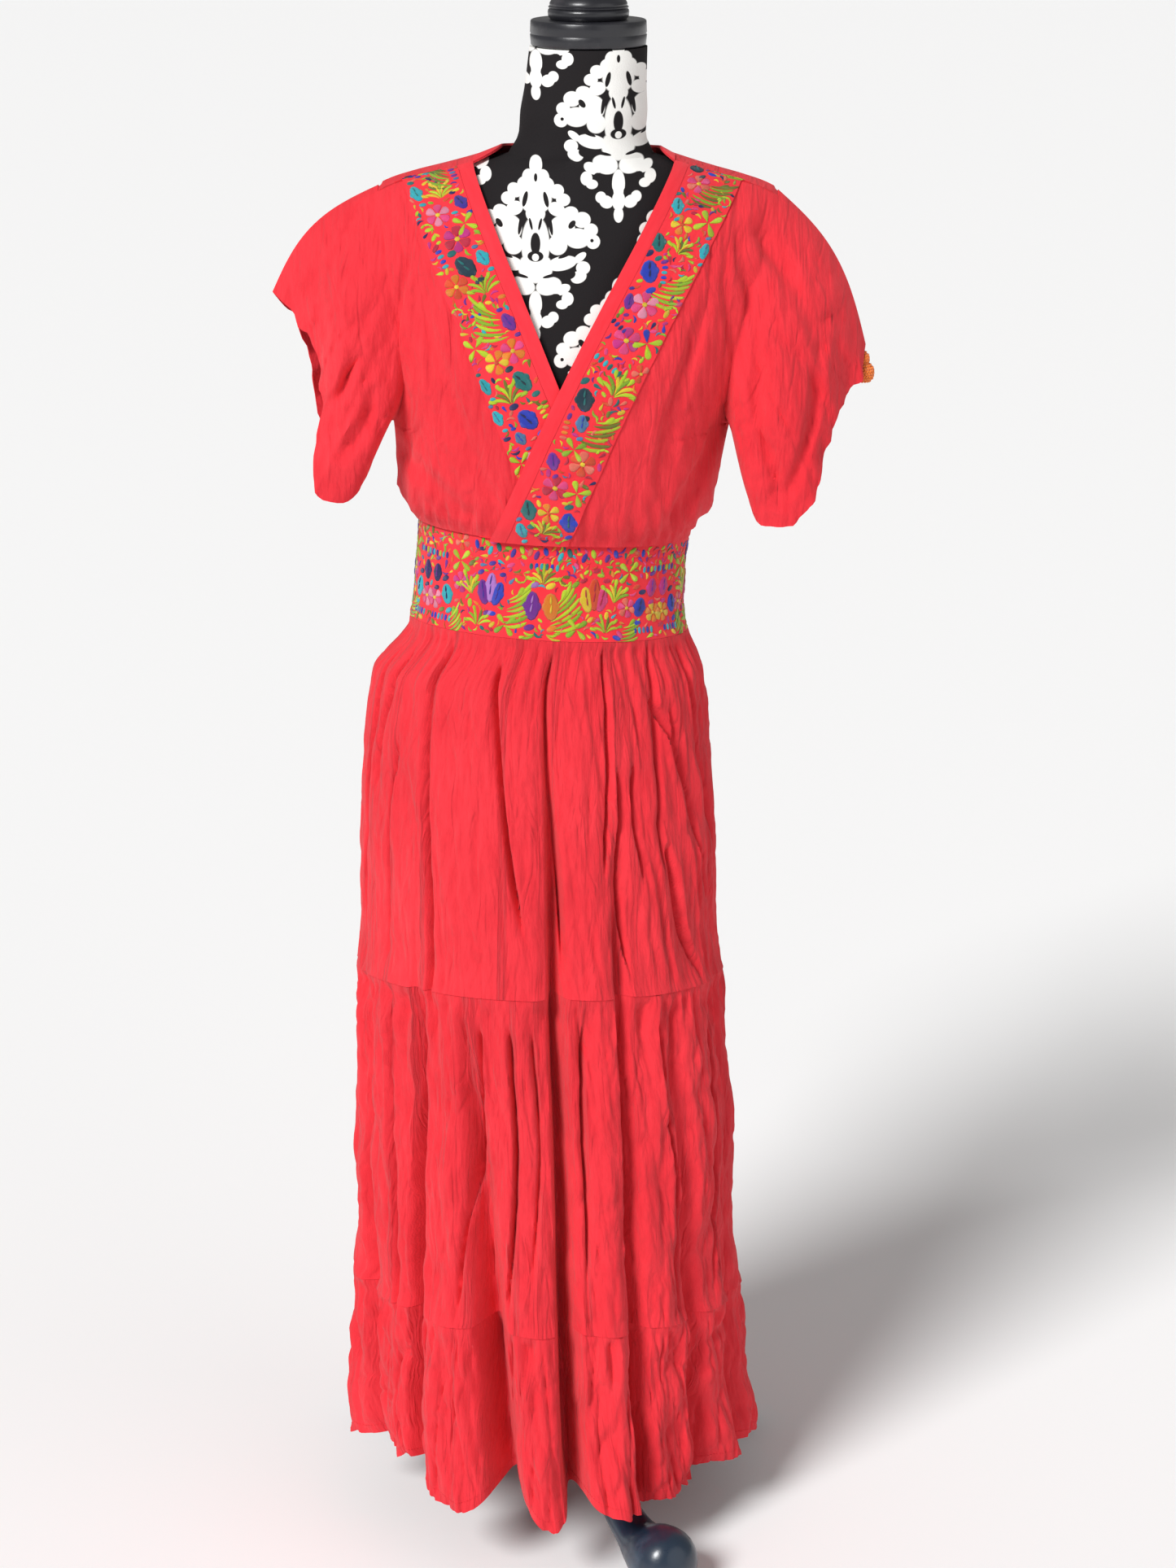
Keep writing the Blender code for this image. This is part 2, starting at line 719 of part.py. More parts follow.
def make_front(side):
    """One wrap front with its half of the sleeve, cut in one, and the trim along its edge."""
    word = "left" if side > 0 else "right"
    rows, sleeve_rows = front_grid(side)
    columns = len(rows[0])
    points = [p for row in rows for p, _ in row]
    fixed = dict(enumerate(n for row in rows for _, n in row))
    faces = grid_faces(len(rows), columns)
    if side < 0:
        faces = turned_over(faces)
    ends = [j * columns + columns - 1 for j in range(len(rows))]
    seam_points = ends[sleeve_rows - 1 :]
    add_sleeve(points, faces, fixed, seam_points, side, "front", [None] + ends[:sleeve_rows])
    level_seams(points, faces, fixed, seam_points)
    low = [(len(rows) - 1) * columns + k for k in range(columns)]
    wall(f"front_{word}", points, faces, CLOTH, red_cloth(), fixed, flat_rows=low)
    strip_on(f"binding_{word}", rows, 0, 1, 0.0, TRIM, red_cloth(), side)
    strip_on(f"band_{word}", rows, 1, 1 + BAND_STEPS, SEAM, TRIM, embroidery(), side)


def make_back():
    """The back with both sleeve halves, cut in one, under the yoke."""
    along = [a for a in ALONG if armhole_z(1, a) < BACK_SEAM_Z - 0.004]
    skipped = len(ALONG) - len(along)
    wide = BODICE_BODY.half_width(ARMPIT_Z)
    side_rows = [seam_row(side * wide, ARMPIT_Z, 0) for side in (-1, 1)]
    count = 1 + len(along) + SIDE_SEAM_ROWS
    points, fixed, rows = [], {}, []
    for j in range(count):
        ends = []
        for side, low in zip((-1, 1), side_rows):
            if j == 0:
                z = BACK_SEAM_Z - SEAM
                x = side * armhole_x(z)
            elif j <= len(along):
                z = armhole_z(side, along[j - 1])
                x = side * (armhole_x(z) if j < len(along) else wide)
            else:
                z = low[j - len(along) - 1]
                x = side * BODICE_BODY.half_width(z)
            ends.append((x, z))
        row = []
        for k in range(-BACK_COLUMNS, BACK_COLUMNS + 1):
            side = -1 if k < 0 else 1
            x_end, z_end = ends[0 if k < 0 else 1]
            u = abs(k) / BACK_COLUMNS
            middle_z = mix(BACK_SEAM_Z - SEAM, waist_top(0, -1) + SEAM, j / (count - 1))
            z = mix(middle_z, z_end, ramp(u, -0.2, 1.0) if u < 1 else 1.0)
            turn = math.asin(min(1.0, abs(x_end) / BODICE_BODY.half_width(z_end)))
            if j == count - 1 and u < 1:
                across = side * math.sin(turn * u) * BODICE_BODY.half_width(z)
                z = waist_top(across, -math.cos(turn * u)) + SEAM
            x = side * math.sin(turn * u) * BODICE_BODY.half_width(z) if u < 1 else x_end
            if j == count - 1:
                forward = -math.sqrt(max(0.0, 1 - (x / BODICE_BODY.half_width(z)) ** 2))
                z = waist_top(x, forward) + SEAM
            p, n = BODICE_BODY.point(x, z, True)
            shore = ramp(z, waist_top(x, 0), waist_top(x, 0) + 0.02)
            shore *= 1 - ramp(z, BACK_SEAM_Z - 0.02, BACK_SEAM_Z)
            p -= n * crease_depth(x, z, BACK_CREASES) * shore
            if u == 1:
                p.y = max(p.y, SEAM / 2)
            points.append(p)
            fixed[len(points) - 1] = n
            row.append(len(points) - 1)
        rows.append(row)
    columns = 2 * BACK_COLUMNS + 1
    faces = turned_over(grid_faces(count, columns))
    seam_points = []
    for side in (-1, 1):
        ends = [row[0 if side < 0 else -1] for row in rows]
        seam_points += ends[len(along) :]
        shared = [None] * skipped + ends[1 : 1 + len(along)]
        line = add_sleeve(points, faces, fixed, seam_points, side, "back", shared)
        take_in(faces, line[skipped - 1], ends[0], line[skipped])
    level_seams(points, faces, fixed, seam_points)
    wall("back", points, faces, CLOTH, red_cloth(), fixed, flat_rows=rows[-1])


def take_in(faces, start, middle, end):
    """Splits the triangle on the side from start to end, so that it meets a point that
    another edge has between the two."""
    found = next(f for f in faces if start in f and end in f)
    other = next(i for i in found if i not in (start, end))
    faces.remove(found)
    forward = found.index(end) == (found.index(start) + 1) % 3
    halves = [(start, middle, other), (middle, end, other)]
    faces += halves if forward else turned_over(halves)


YOKE_COLUMNS = (0.0, 0.024, 0.044, 0.058, 0.067, NECK_SIDE)
YOKE_OUTER = (0.114, 0.138, 0.162, SHOULDER_END - 0.0016)
YOKE_ROWS = 7
YOKE_CLEAR = 0.0004


def yoke_edges(x):
    """Signed square roots of the drop below the shoulder's top line, at the yoke's inner or
    front edge and at its back seam."""
    side = -1 if x < 0 else 1
    neck_front = abs(neckline_x(side, NECKLINE[side][0][0]))
    if abs(x) < NECK_SIDE:
        first = math.sqrt(BACK_NECK_DROP) * math.sqrt(1 - (x / NECK_SIDE) ** 2)
    elif abs(x) < neck_front:
        first = -math.sqrt(FRONT_SEAM_DROP - SEAM) * math.sqrt((abs(x) - NECK_SIDE) / (neck_front - NECK_SIDE))
    else:
        first = -math.sqrt(FRONT_SEAM_DROP - SEAM)
    return first, math.sqrt(BODICE_BODY.ridge(x) - BACK_SEAM_Z)


def make_yoke():
    """The shoulder yoke: over both shoulders and across the back below the neck."""
    across = []
    for side in (-1, 1):
        corner = abs(neckline_x(side, NECKLINE[side][0][0]))
        own = [*YOKE_COLUMNS, corner, *[x for x in YOKE_OUTER if x > corner + 0.004]]
        across += [side * x for x in own if side > 0 or x > 0]
    across.sort()
    rows = []
    for j in range(YOKE_ROWS + 1):
        row = []
        for x in across:
            first, last = yoke_edges(x)
            trim = first + BINDING_WIDTH / 0.30
            if j == 0:
                root = first
            else:
                root = mix(min(trim, mix(first, last, 0.4)), last, (j - 1) / (YOKE_ROWS - 1))
            z = BODICE_BODY.ridge(x) - root * root
            row.append(yoke_point(x, z, root))
        rows.append(row)
    columns = len(across)
    points = [p for row in rows for p, _ in row]
    fixed = dict(enumerate(n for row in rows for _, n in row))
    wall("yoke", points, turned_over(grid_faces(len(rows), columns)), CLOTH, red_cloth(), fixed)
    ends = [abs(neckline_x(side, NECKLINE[side][0][0])) for side in (-1, 1)]
    inner = [k for k, x in enumerate(across) if -ends[0] - 1e-6 <= x <= ends[1] + 1e-6]
    trim_rows = [[rows[j][k] for k in inner] for j in (0, 1)]
    points = [p for row in trim_rows for p, _ in row]
    fixed = dict(enumerate(n for row in trim_rows for _, n in row))
    faces = turned_over(grid_faces(2, len(inner)))
    wall("binding_back", points, faces, TRIM, red_cloth(), fixed, gap=SEAM)


def yoke_point(x, z, root):
    """A point of the yoke. Behind the shoulder its outer columns draw in beside the armhole."""
    if root <= 0:
        return BODICE_BODY.point(x, z)
    room = armhole_x(z) - SEAM - YOKE_CLEAR
    share = ramp(abs(x), 0.105, SHOULDER_END)
    drawn = mix(abs(x), abs(x) * room / SHOULDER_END, share)
    if abs(x) > SHOULDER_END - 0.003:
        drawn = min(drawn, room, abs(x))
    side = -1 if x < 0 else 1
    return BODICE_BODY.point(side * drawn, z, True)


def section_point(table_row, bearing, inward=0.0):
    """A point of an oval section. inward moves it towards the section's centre."""
    centre, half, front, back = table_row
    turn = math.radians(bearing)
    x, y = half * math.sin(turn), -math.cos(turn) * (front if math.cos(turn) > 0 else back)
    scale = 1 - inward / math.hypot(x, y)
    return centre + x * scale, y * scale


def skirt_section(z):
    heights = column(SKIRT, SKIRT_COLUMNS, "height")
    return tuple(smooth(z, heights, column(SKIRT, SKIRT_COLUMNS, name)) for name in SKIRT_COLUMNS[1:])


def make_waistband():
    """The wide embroidered band, a closed ring that tips with the form."""
    count, rows = 60, 3
    points = []
    for j in range(rows + 1):
        for i in range(count):
            bearing = 360 * i / count
            forward = math.cos(math.radians(bearing))
            x = 0.128 * math.sin(math.radians(bearing))
            z = mix(waist_top(x, forward), waist_bottom(x, forward), j / rows)
            tuck = 0.0015 * math.sin(math.pi * j / rows)
            top = (axis_x(z), 0.1285, 0.1015, 0.0950)
            px, py = section_point(top if j == 0 else waist_section(z, j / rows), bearing, tuck)
            points.append(Vector((px, py, z)))
    faces = grid_faces(rows + 1, count, closed=True)
    rims = [*range(count), *range(rows * count, (rows + 1) * count)]
    wall("waistband", points, faces, BAND_WALL, embroidery(), flat_rows=rims)


def waist_section(z, t):
    """Between the bodice's lower edge and the top of the skirt."""
    low = skirt_section(z)
    high = (axis_x(z), 0.1285, 0.1015, 0.0950)
    return tuple(mix(a, b, t) for a, b in zip(high, low))


def seam_height(tier, bearing):
    """The height of each skirt seam and of the hem, all round."""
    turn = math.radians(bearing)
    forward, across = math.cos(turn), math.sin(turn)
    if tier == 0:
        return waist_bottom(0.128 * across, forward) - SEAM
    if tier == 1:
        return 0.570 + 0.012 * forward - 0.004 * across
    if tier == 2:
        return 0.240 + 0.016 * forward - 0.010 * across
    return 0.082 - 0.016 * math.sin(turn + 0.2) + 0.004 * math.sin(5 * turn + 1.0)


def tuck_bearing(tier, k):
    """Where the small tucks of a tier lie, unevenly spaced."""
    _, count, _, seed, _ = TIERS[tier]
    return 360 * (k + TUCK_JITTER * math.sin(12.9898 * (k + 1) * seed)) / count


def raised(s):
    """A smooth bump, 1 in the middle and 0 from -1 and 1 outwards."""
    return (1 + math.cos(math.pi * s)) / 2 if abs(s) < 1 else 0.0


def turn_between(a, b):
    return (a - b + 180) % 360 - 180


def fold_at(fold, z):
    """(bearing, depth, half width) of a hanging fold at a height."""
    start, top, hem, depth, half = fold
    t = min(1.0, max(0.0, (start - z) / (start - 0.06)))
    return mix(top, hem, t), depth * t**FOLD_GROWTH, mix(0.62 * half, half, t)


def skirt_inward(tier, bearing, z):
    """How far the hanging folds and the tier's own tucks push the cloth in."""
    pushed = 0.0
    for fold in HANGING_FOLDS:
        at, depth, half = fold_at(fold, z)
        away = turn_between(bearing, at) / half
        pushed += depth * (FOLD_SHARP * raised(away) + (1 - FOLD_SHARP) * raised(away / FOLD_BROAD))
    for at, half, start, out in HEM_SWELLS:
        t = min(1.0, max(0.0, (start - z) / (start - 0.07)))
        pushed -= out * t**1.5 * raised(turn_between(bearing, at) / (2 * half))
    _, count, depth, seed, _ = TIERS[tier]
    below = seam_height(tier, bearing) - z
    fade = ramp(below, 0.0, TUCK_RAMP) * (1 - 0.65 * ramp(below, 0.05, 0.22))
    half = 0.36 * 360 / count
    for k in range(count):
        size = depth * (0.75 + 0.4 * math.sin(7.0 * k + seed))
        pushed += size * fade * raised(turn_between(bearing, tuck_bearing(tier, k)) / half)
    return pushed


def tier_bearings(tier):
    """Bearings of a tier's columns: the shoulders, walls and floor of each hanging fold, and
    the two shoulders and floor of each tuck that lies clear of them."""
    middle_z = (seam_height(tier, 0) + seam_height(tier + 1, 0)) / 2
    found = []
    for fold in HANGING_FOLDS:
        at, depth, half = fold_at(fold, middle_z)
        if depth > 0.002:
            found += [at + s * half for s in (-1.0, -0.55, 0.0, 0.55, 1.0)]
    count = TIERS[tier][1]
    half = 0.36 * 360 / count
    for k in range(count):
        found += [tuck_bearing(tier, k) + s * half for s in (-1.0, 0.0, 1.0)]
    found = sorted(b % 360 for b in found)
    kept = []
    for b in found:
        if not kept or b - kept[-1] > MIN_TURN:
            kept.append(b)
    if kept[0] + 360 - kept[-1] < MIN_TURN:
        kept.pop()
    return kept


def make_tier(tier):
    name, _, _, _, rows = TIERS[tier]
    bearings = tier_bearings(tier)
    points = []
    for j in range(rows + 1):
        t = (j / rows) ** (1.0 if tier else 1.25)
        for bearing in bearings:
            top = seam_height(tier, bearing)
            low = seam_height(tier + 1, bearing) + (SEAM if tier < 2 else 0.0)
            z = mix(top, low, t)
            x, y = section_point(skirt_section(z), bearing, skirt_inward(tier, bearing, z))
            points.append(Vector((x, y, z)))
    count = len(bearings)
    faces = grid_faces(rows + 1, count, closed=True)
    rims = [*range(count), *range(rows * count, (rows + 1) * count)]
    wall(name, points, faces, CLOTH, red_cloth(), flat_rows=rims)


def loft(name, rings, finish):
    """A closed solid through rings with equal numbers of points, capped at both ends."""
    count = len(rings[0])
    points = [p for ring in rings for p in ring]
    faces = []
    for j in range(len(rings) - 1):
        for i in range(count):
            k = (i + 1) % count
            a = j * count
            faces.append((a + i, a + k, a + count + k, a + count + i))
    faces.append(tuple(reversed(range(count))))
    faces.append(tuple(range((len(rings) - 1) * count, len(rings) * count)))
    return add_object(name, points, faces, finish)


def turned(name, profile, x, y, segments, finish):
    """A piece turned on a lathe: rows of (height, radius) from the bottom up."""
    rings = []
    for z, radius in profile:
        turns = [2 * math.pi * i / segments for i in range(segments)]
        rings.append([Vector((x + radius * math.cos(t), y + radius * math.sin(t), z)) for t in turns])
    return loft(name, rings, finish)


def make_form():
    """The covered torso with its neck, a smooth solid."""
    segments = 32
    body_heights = (0.660, 0.668, 0.700, 0.740, 0.790, 0.840, 0.885, 0.925, 0.965, 1.005)
    body_heights += (1.050, 1.095, 1.135, 1.170, 1.205, 1.240, 1.270, 1.295, 1.312, 1.325)
    shoulder_heights = (1.334, 1.342, 1.349, 1.3545)
    rings = []
    for z in body_heights + shoulder_heights:
        ring = []
        shrink = 0.96 if z == TORSO_BASE_Z else 1.0
        for i in range(segments):
            turn = 2 * math.pi * i / segments
            across = math.sin(turn)
            side = 1 if across >= 0 else -1
            half = shoulder_reach(z, side)
            x = half * across
            y = FORM_BODY.y(x, z, math.cos(turn) < 0)
            ring.append(Vector((axis_x(z) + x * shrink, y * shrink, z)))
        rings.append(ring)
    for z, half, front, back in reversed(NECK):
        ring = []
        for i in range(segments):
            turn = 2 * math.pi * i / segments
            depth = front if math.cos(turn) > 0 else back
            ring.append(Vector((axis_x(z) + half * math.sin(turn), -depth * math.cos(turn), z)))
        rings.append(ring)
    return loft("form_torso", rings, black_cover())


def shoulder_reach(z, side):
    """How far the form reaches across at a height: its own half width, or less where the
    shoulder's top line slopes below that height."""
    low, high = 0.0, FORM_BODY.half_width(z)
    if FORM_BODY.ridge(side * high) >= z:
        return high
    for _ in range(40):
        middle = (low + high) / 2
        if FORM_BODY.ridge(side * middle) >= z:
            low = middle
        else:
            high = middle
    return low


def make_neck_block():
    x = axis_x(CAP_Z)
    rim = CAP_RADIUS
    top = CAP_Z + CAP_HEIGHT
    cap = (
        (CAP_Z, rim - 0.0030),
        (CAP_Z + 0.0015, rim - 0.0008),
        (CAP_Z + 0.0100, rim),
        (CAP_Z + 0.0130, rim),
        (top - 0.0015, rim - 0.0004),
        (top, rim - 0.0020),
    )
    turned("neck_cap", cap, x, 0.0, 40, black_wood())
    base = top + SEAM
    knob = (
        (base, 0.0350),
        (base + 0.003, 0.0368),
        (base + 0.008, 0.0372),
        (base + 0.0095, 0.0358),
        (base + 0.011, 0.0368),
        (base + 0.0125, 0.0352),
        (base + 0.014, 0.0358),
        (base + 0.019, 0.0325),
        (base + 0.024, 0.0255),
        (base + 0.028, 0.0165),
        (base + 0.033, 0.0135),
        (base + 0.038, 0.0150),
        (base + 0.044, 0.0225),
        (base + 0.053, 0.0265),
        (base + 0.062, 0.0250),
        (base + 0.071, 0.0190),
        (base + 0.078, 0.0100),
        (FINIAL_TOP, 0.0030),
    )
    turned("finial", knob, x, 0.0, 24, black_wood())


def make_stand():
    hub_top, hub_low = 0.190, 0.074
    plate = (
        (TORSO_BASE_Z - 0.0153, 0.0560),
        (TORSO_BASE_Z - 0.0123, 0.0600),
        (TORSO_BASE_Z - SEAM, 0.0600),
    )
    turned("base_plate", plate, POLE_X, 0.0, 28, black_wood())
    pole = ((hub_top + SEAM, POLE_RADIUS), (TORSO_BASE_Z - 0.0153 - SEAM, POLE_RADIUS))
    turned("pole", pole, POLE_X, 0.0, 20, black_wood())
    hub = (
        (hub_low, 0.0160),
        (hub_low + 0.006, 0.0240),
        (hub_low + 0.016, 0.0280),
        (0.150, 0.0280),
        (0.160, 0.0240),
        (0.172, 0.0270),
        (0.182, 0.0240),
        (hub_top, 0.0195),
    )
    turned("hub", hub, POLE_X, 0.0, 24, black_wood())
    for number, bearing in enumerate(LEG_BEARINGS, 1):
        make_leg(f"leg_{number}", bearing)


# A leg's middle line and half sizes: reach from the pole, height, half width, half height
LEG_COLUMNS = ("reach", "height", "half_width", "half_height")
LEG = (
    (0.0286, 0.1200, 0.0140, 0.0220),
    (0.0480, 0.1180, 0.0150, 0.0215),
    (0.0800, 0.1030, 0.0160, 0.0200),
    (0.1150, 0.0750, 0.0165, 0.0185),
    (0.1500, 0.0500, 0.0175, 0.0175),
    (0.1800, 0.0350, 0.0200, 0.0180),
    (0.2050, 0.0280, 0.0260, 0.0240),
    (0.2240, 0.0290, 0.0315, 0.0310),
    (0.2388, 0.0295, 0.0330, 0.0330),
    (0.2530, 0.0290, 0.0300, 0.0310),
    (0.2640, 0.0290, 0.0215, 0.0220),
    (0.2700, 0.0290, 0.0080, 0.0085),
)


def make_leg(name, bearing):
    """A swept leg that comes down from the hub and ends in a rounded foot with a flat."""
    segments = 14
    turn = math.radians(bearing)
    along = Vector((math.cos(turn), math.sin(turn), 0))
    beside = Vector((-math.sin(turn), math.cos(turn), 0))
    rings = []
    for k, (reach, height, half, tall) in enumerate(LEG):
        before, after = LEG[max(0, k - 1)], LEG[min(len(LEG) - 1, k + 1)]
        slope = math.atan2(after[1] - before[1], after[0] - before[0]) if k else 0.0
        slope *= 1 - ramp(reach, 0.15, 0.20)
        up = along * -math.sin(slope) + Vector((0, 0, math.cos(slope)))
        centre = Vector((POLE_X, 0, height)) + along * reach
        ring = []
        for i in range(segments):
            t = 2 * math.pi * (i + 0.5) / segments
            p = centre + beside * (half * math.cos(t)) + up * (tall * math.sin(t))
            p.z = max(p.z, 0.0)
            ring.append(p)
        rings.append(ring)
    loft(name, rings, black_wood())


def make_tassel():
    """The crocheted bobble that hangs from the top of the left sleeve's hem: a short neck
    and small knot over a wider, flattened ball, turned as one piece."""
    tip = sleeve_point(1, "front", 0.0, 1.0)
    x, y, top = tip.x - 0.0030, 0.0, tip.z - CLOTH - 0.0010
    rows = (
        (-0.0330, 0.0040),
        (-0.0320, 0.0085),
        (-0.0285, 0.0112),
        (-0.0240, 0.0118),
        (-0.0195, 0.0108),
        (-0.0165, 0.0078),
        (-0.0150, 0.0066),
        (-0.0125, 0.0072),
        (-0.0095, 0.0070),
        (-0.0065, 0.0050),
        (-0.0045, 0.0026),
        (-0.0006, 0.0018),
    )
    profile = [(top + dz, radius) for dz, radius in rows]
    turned("tassel", profile, x, y, 14, material("orange_yarn", (0.95, 0.28, 0.04), 0.85))


def main():
    for old in list(bpy.data.objects):
        bpy.data.objects.remove(old)
    make_form()
    make_neck_block()
    make_stand()
    make_front(-1)
    make_front(1)
    make_back()
    make_yoke()
    make_waistband()
    for tier in range(len(TIERS)):
        make_tier(tier)
    make_tassel()


main()
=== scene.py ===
# %% [markdown]
# # An embroidered wrap dress on its form
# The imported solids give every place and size. Each cell below first says what a piece is on
# the real object and how it could be made, and then makes it. The frame is loaded first,
# because each finished piece rides on it and stands for one of its solids.

# %% Load the solids
import json
import math

import bpy
import numpy as np
from mathutils import Matrix, Vector

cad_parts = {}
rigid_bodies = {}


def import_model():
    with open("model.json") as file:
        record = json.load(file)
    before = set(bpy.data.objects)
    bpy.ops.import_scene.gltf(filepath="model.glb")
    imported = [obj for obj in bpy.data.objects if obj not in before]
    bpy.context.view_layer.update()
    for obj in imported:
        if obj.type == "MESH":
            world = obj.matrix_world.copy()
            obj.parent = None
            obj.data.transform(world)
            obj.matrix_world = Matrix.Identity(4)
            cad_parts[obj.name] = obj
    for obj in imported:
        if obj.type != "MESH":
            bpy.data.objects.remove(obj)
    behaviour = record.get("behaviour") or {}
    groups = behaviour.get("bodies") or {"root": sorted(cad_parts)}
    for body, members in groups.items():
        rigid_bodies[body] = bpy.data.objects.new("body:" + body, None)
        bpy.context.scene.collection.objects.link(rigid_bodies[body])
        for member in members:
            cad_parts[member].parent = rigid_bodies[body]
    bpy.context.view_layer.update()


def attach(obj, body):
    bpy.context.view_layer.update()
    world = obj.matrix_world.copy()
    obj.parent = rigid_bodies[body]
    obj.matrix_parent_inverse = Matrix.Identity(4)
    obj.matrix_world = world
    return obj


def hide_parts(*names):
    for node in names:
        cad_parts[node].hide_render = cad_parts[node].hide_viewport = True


for old in list(bpy.data.objects):
    bpy.data.objects.remove(old)
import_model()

# %% [markdown]
# ## Camera, floor and light
# The photograph was taken from about chest height, a few steps back, with a long lens that
# looks a little down. The floor is pale and large enough to fill the view, so the whole
# picture has one plain ground. A wide sun gives soft shade inside the folds, and the sky
# around fills the rest, so no lamp falls off across the floor.


# %% Camera, floor and light
CAMERA_PITCH = math.radians(16.5)
FILM_WIDE = 36
FOCUS_PIXELS, PHOTO_TALL = 4500, 1927
SKY_STRENGTH = 0.27


def link(made):
    bpy.context.scene.collection.objects.link(made)
    return made


def new_finish(name):
    """A material, its node tree and its main shader."""
    made = bpy.data.materials.new(name)
    made.use_nodes = True
    return made, made.node_tree, made.node_tree.nodes["Principled BSDF"]


def set_inputs(shader, values):
    for label, value in values.items():
        shader.inputs[label].default_value = value


lens = bpy.data.cameras.new("camera")
lens.lens = FOCUS_PIXELS * FILM_WIDE / PHOTO_TALL
lens.sensor_width = FILM_WIDE
camera = link(bpy.data.objects.new("camera", lens))
camera.location = (0.016, -3.4, 1.76)
camera.rotation_euler = (math.pi / 2 - CAMERA_PITCH, 0, 0)
bpy.context.scene.camera = camera

bpy.ops.mesh.primitive_plane_add(size=400, location=(0, 0, -0.0005))
floor = bpy.context.object
floor.name = "studio_floor"
paper, tree, shader = new_finish("studio_floor")
set_inputs(shader, {"Base Color": (0.98, 0.98, 0.98, 1), "Roughness": 0.9})
floor.data.materials.append(paper)

world = bpy.data.worlds.new("studio")
bpy.context.scene.world = world
world.use_nodes = True
sky = world.node_tree.nodes["Background"]
set_inputs(sky, {"Color": (1.0, 0.99, 0.98, 1), "Strength": SKY_STRENGTH})
bpy.context.scene.view_settings.view_transform = "Standard"


def add_sun(name, strength, softness, aim):
    light = bpy.data.lights.new(name, "SUN")
    light.energy = strength
    light.angle = math.radians(softness)
    made = link(bpy.data.objects.new(name, light))
    made.rotation_euler = Vector(aim).to_track_quat("-Z", "Y").to_euler()


add_sun("key", 3.30, 20, (0.46, 0.66, -0.62))
add_sun("fill", 0.5, 60, (-0.75, 0.60, -0.30))
print("camera at", tuple(camera.location), "lens", round(lens.lens, 2))

# %% [markdown]
# ## Numbers that curve
# A pattern cutter draws through a few measured points with a bendy ruler. This small class
# does the same: it goes smoothly through the rows of a table, never past them, and works on
# whole arrays of numbers at once, which keeps the script quick.


# %% Curves, ramps and ripples
class Curve:
    def __init__(self, places, values):
        order = np.argsort(places)
        self.x = np.array(places, float)[order]
        self.y = np.array(values, float)[order]
        step = np.diff(self.x)
        rise = np.diff(self.y) / step
        self.slope = np.empty(len(self.x))
        self.slope[0], self.slope[-1] = rise[0], rise[-1]
        left, right = rise[:-1], rise[1:]
        together = np.where(left + right == 0, 1.0, left + right)
        self.slope[1:-1] = np.where(left * right > 0, 2 * left * right / together, 0.0)

    def __call__(self, at):
        at = np.clip(np.asarray(at, float), self.x[0], self.x[-1])
        k = np.clip(np.searchsorted(self.x, at, side="left") - 1, 0, len(self.x) - 2)
        step = self.x[k + 1] - self.x[k]
        t = (at - self.x[k]) / step
        a, b = self.y[k], self.y[k + 1]
        s0, s1 = self.slope[k] * step, self.slope[k + 1] * step
        found = a * (1 + 2 * t) * (1 - t) ** 2 + s0 * t * (1 - t) ** 2
        return found + b * t * t * (3 - 2 * t) + s1 * t * t * (t - 1)


def ramp(at, low, high):
    t = np.clip((np.asarray(at, float) - low) / (high - low), 0, 1)
    return t * t * (3 - 2 * t)


def mix(a, b, t):
    return a + (b - a) * t


def unit(n, least=0.0):
    """Directions of length 1."""
    return n / np.maximum(np.linalg.norm(n, axis=-1, keepdims=True), least)


def run_along(line):
    """How far each point of a line is from its start."""
    return np.concatenate([[0], np.cumsum(np.linalg.norm(np.diff(line, axis=0), axis=1))])


def raised(s):
    s = np.clip(np.abs(s), 0, 1)
    return (1 + np.cos(np.pi * s)) / 2


def turn_between(a, b):
    return (a - b + 180) % 360 - 180


def ripple(u, v, seed):
    """Smooth unevenness between -1 and 1, repeating every 256 steps."""
    grid = np.random.RandomState(seed).rand(256, 256) * 2 - 1
    i, j = np.floor(u).astype(int), np.floor(v).astype(int)
    s, t = u - i, v - j
    s, t = s * s * (3 - 2 * s), t * t * (3 - 2 * t)
    low = grid[i % 256, j % 256] * (1 - s) + grid[(i + 1) % 256, j % 256] * s
    high = grid[i % 256, (j + 1) % 256] * (1 - s) + grid[(i + 1) % 256, (j + 1) % 256] * s
    return low * (1 - t) + high * t


def crumple(u, v, seed):
    """Thin crossing troughs, such as crumpled cloth keeps: 1 in a trough, 0 between."""
    one, two = ripple(u, v, seed), ripple(1.9 * u + 0.8 * v, 2.1 * v, seed + 1)
    return (1 - np.abs(one)) ** 6 + 0.5 * (1 - np.abs(two)) ** 6


def table_curve(rows, column, at=0):
    return Curve([row[at] for row in rows], [row[column] for row in rows])


# %% [markdown]
# ## The shape that the dress hangs on
# The form leans a little to the wearer's left. Its body is a stack of ovals below two
# sloping, rounded shoulders. The same tables as in the solids are used, so that the finished
# cloth lies on them, but many more points are read from them here.

# %% The body under the cloth
SEAM = 0.0003
CLOTH = TRIM = 0.0010
SHOULDER_TILT = -0.012
REST = 0.0054
WAIST_Z = 0.965
AXIS_AT_WAIST = -0.019
LEAN = 0.072
SHOULDER_ROUND = 0.100
SHOULDER_END = 0.185
FRONT_SEAM_DROP = 0.0045
ARMPIT_Z = 1.110
BACK_SEAM_Z = 1.275

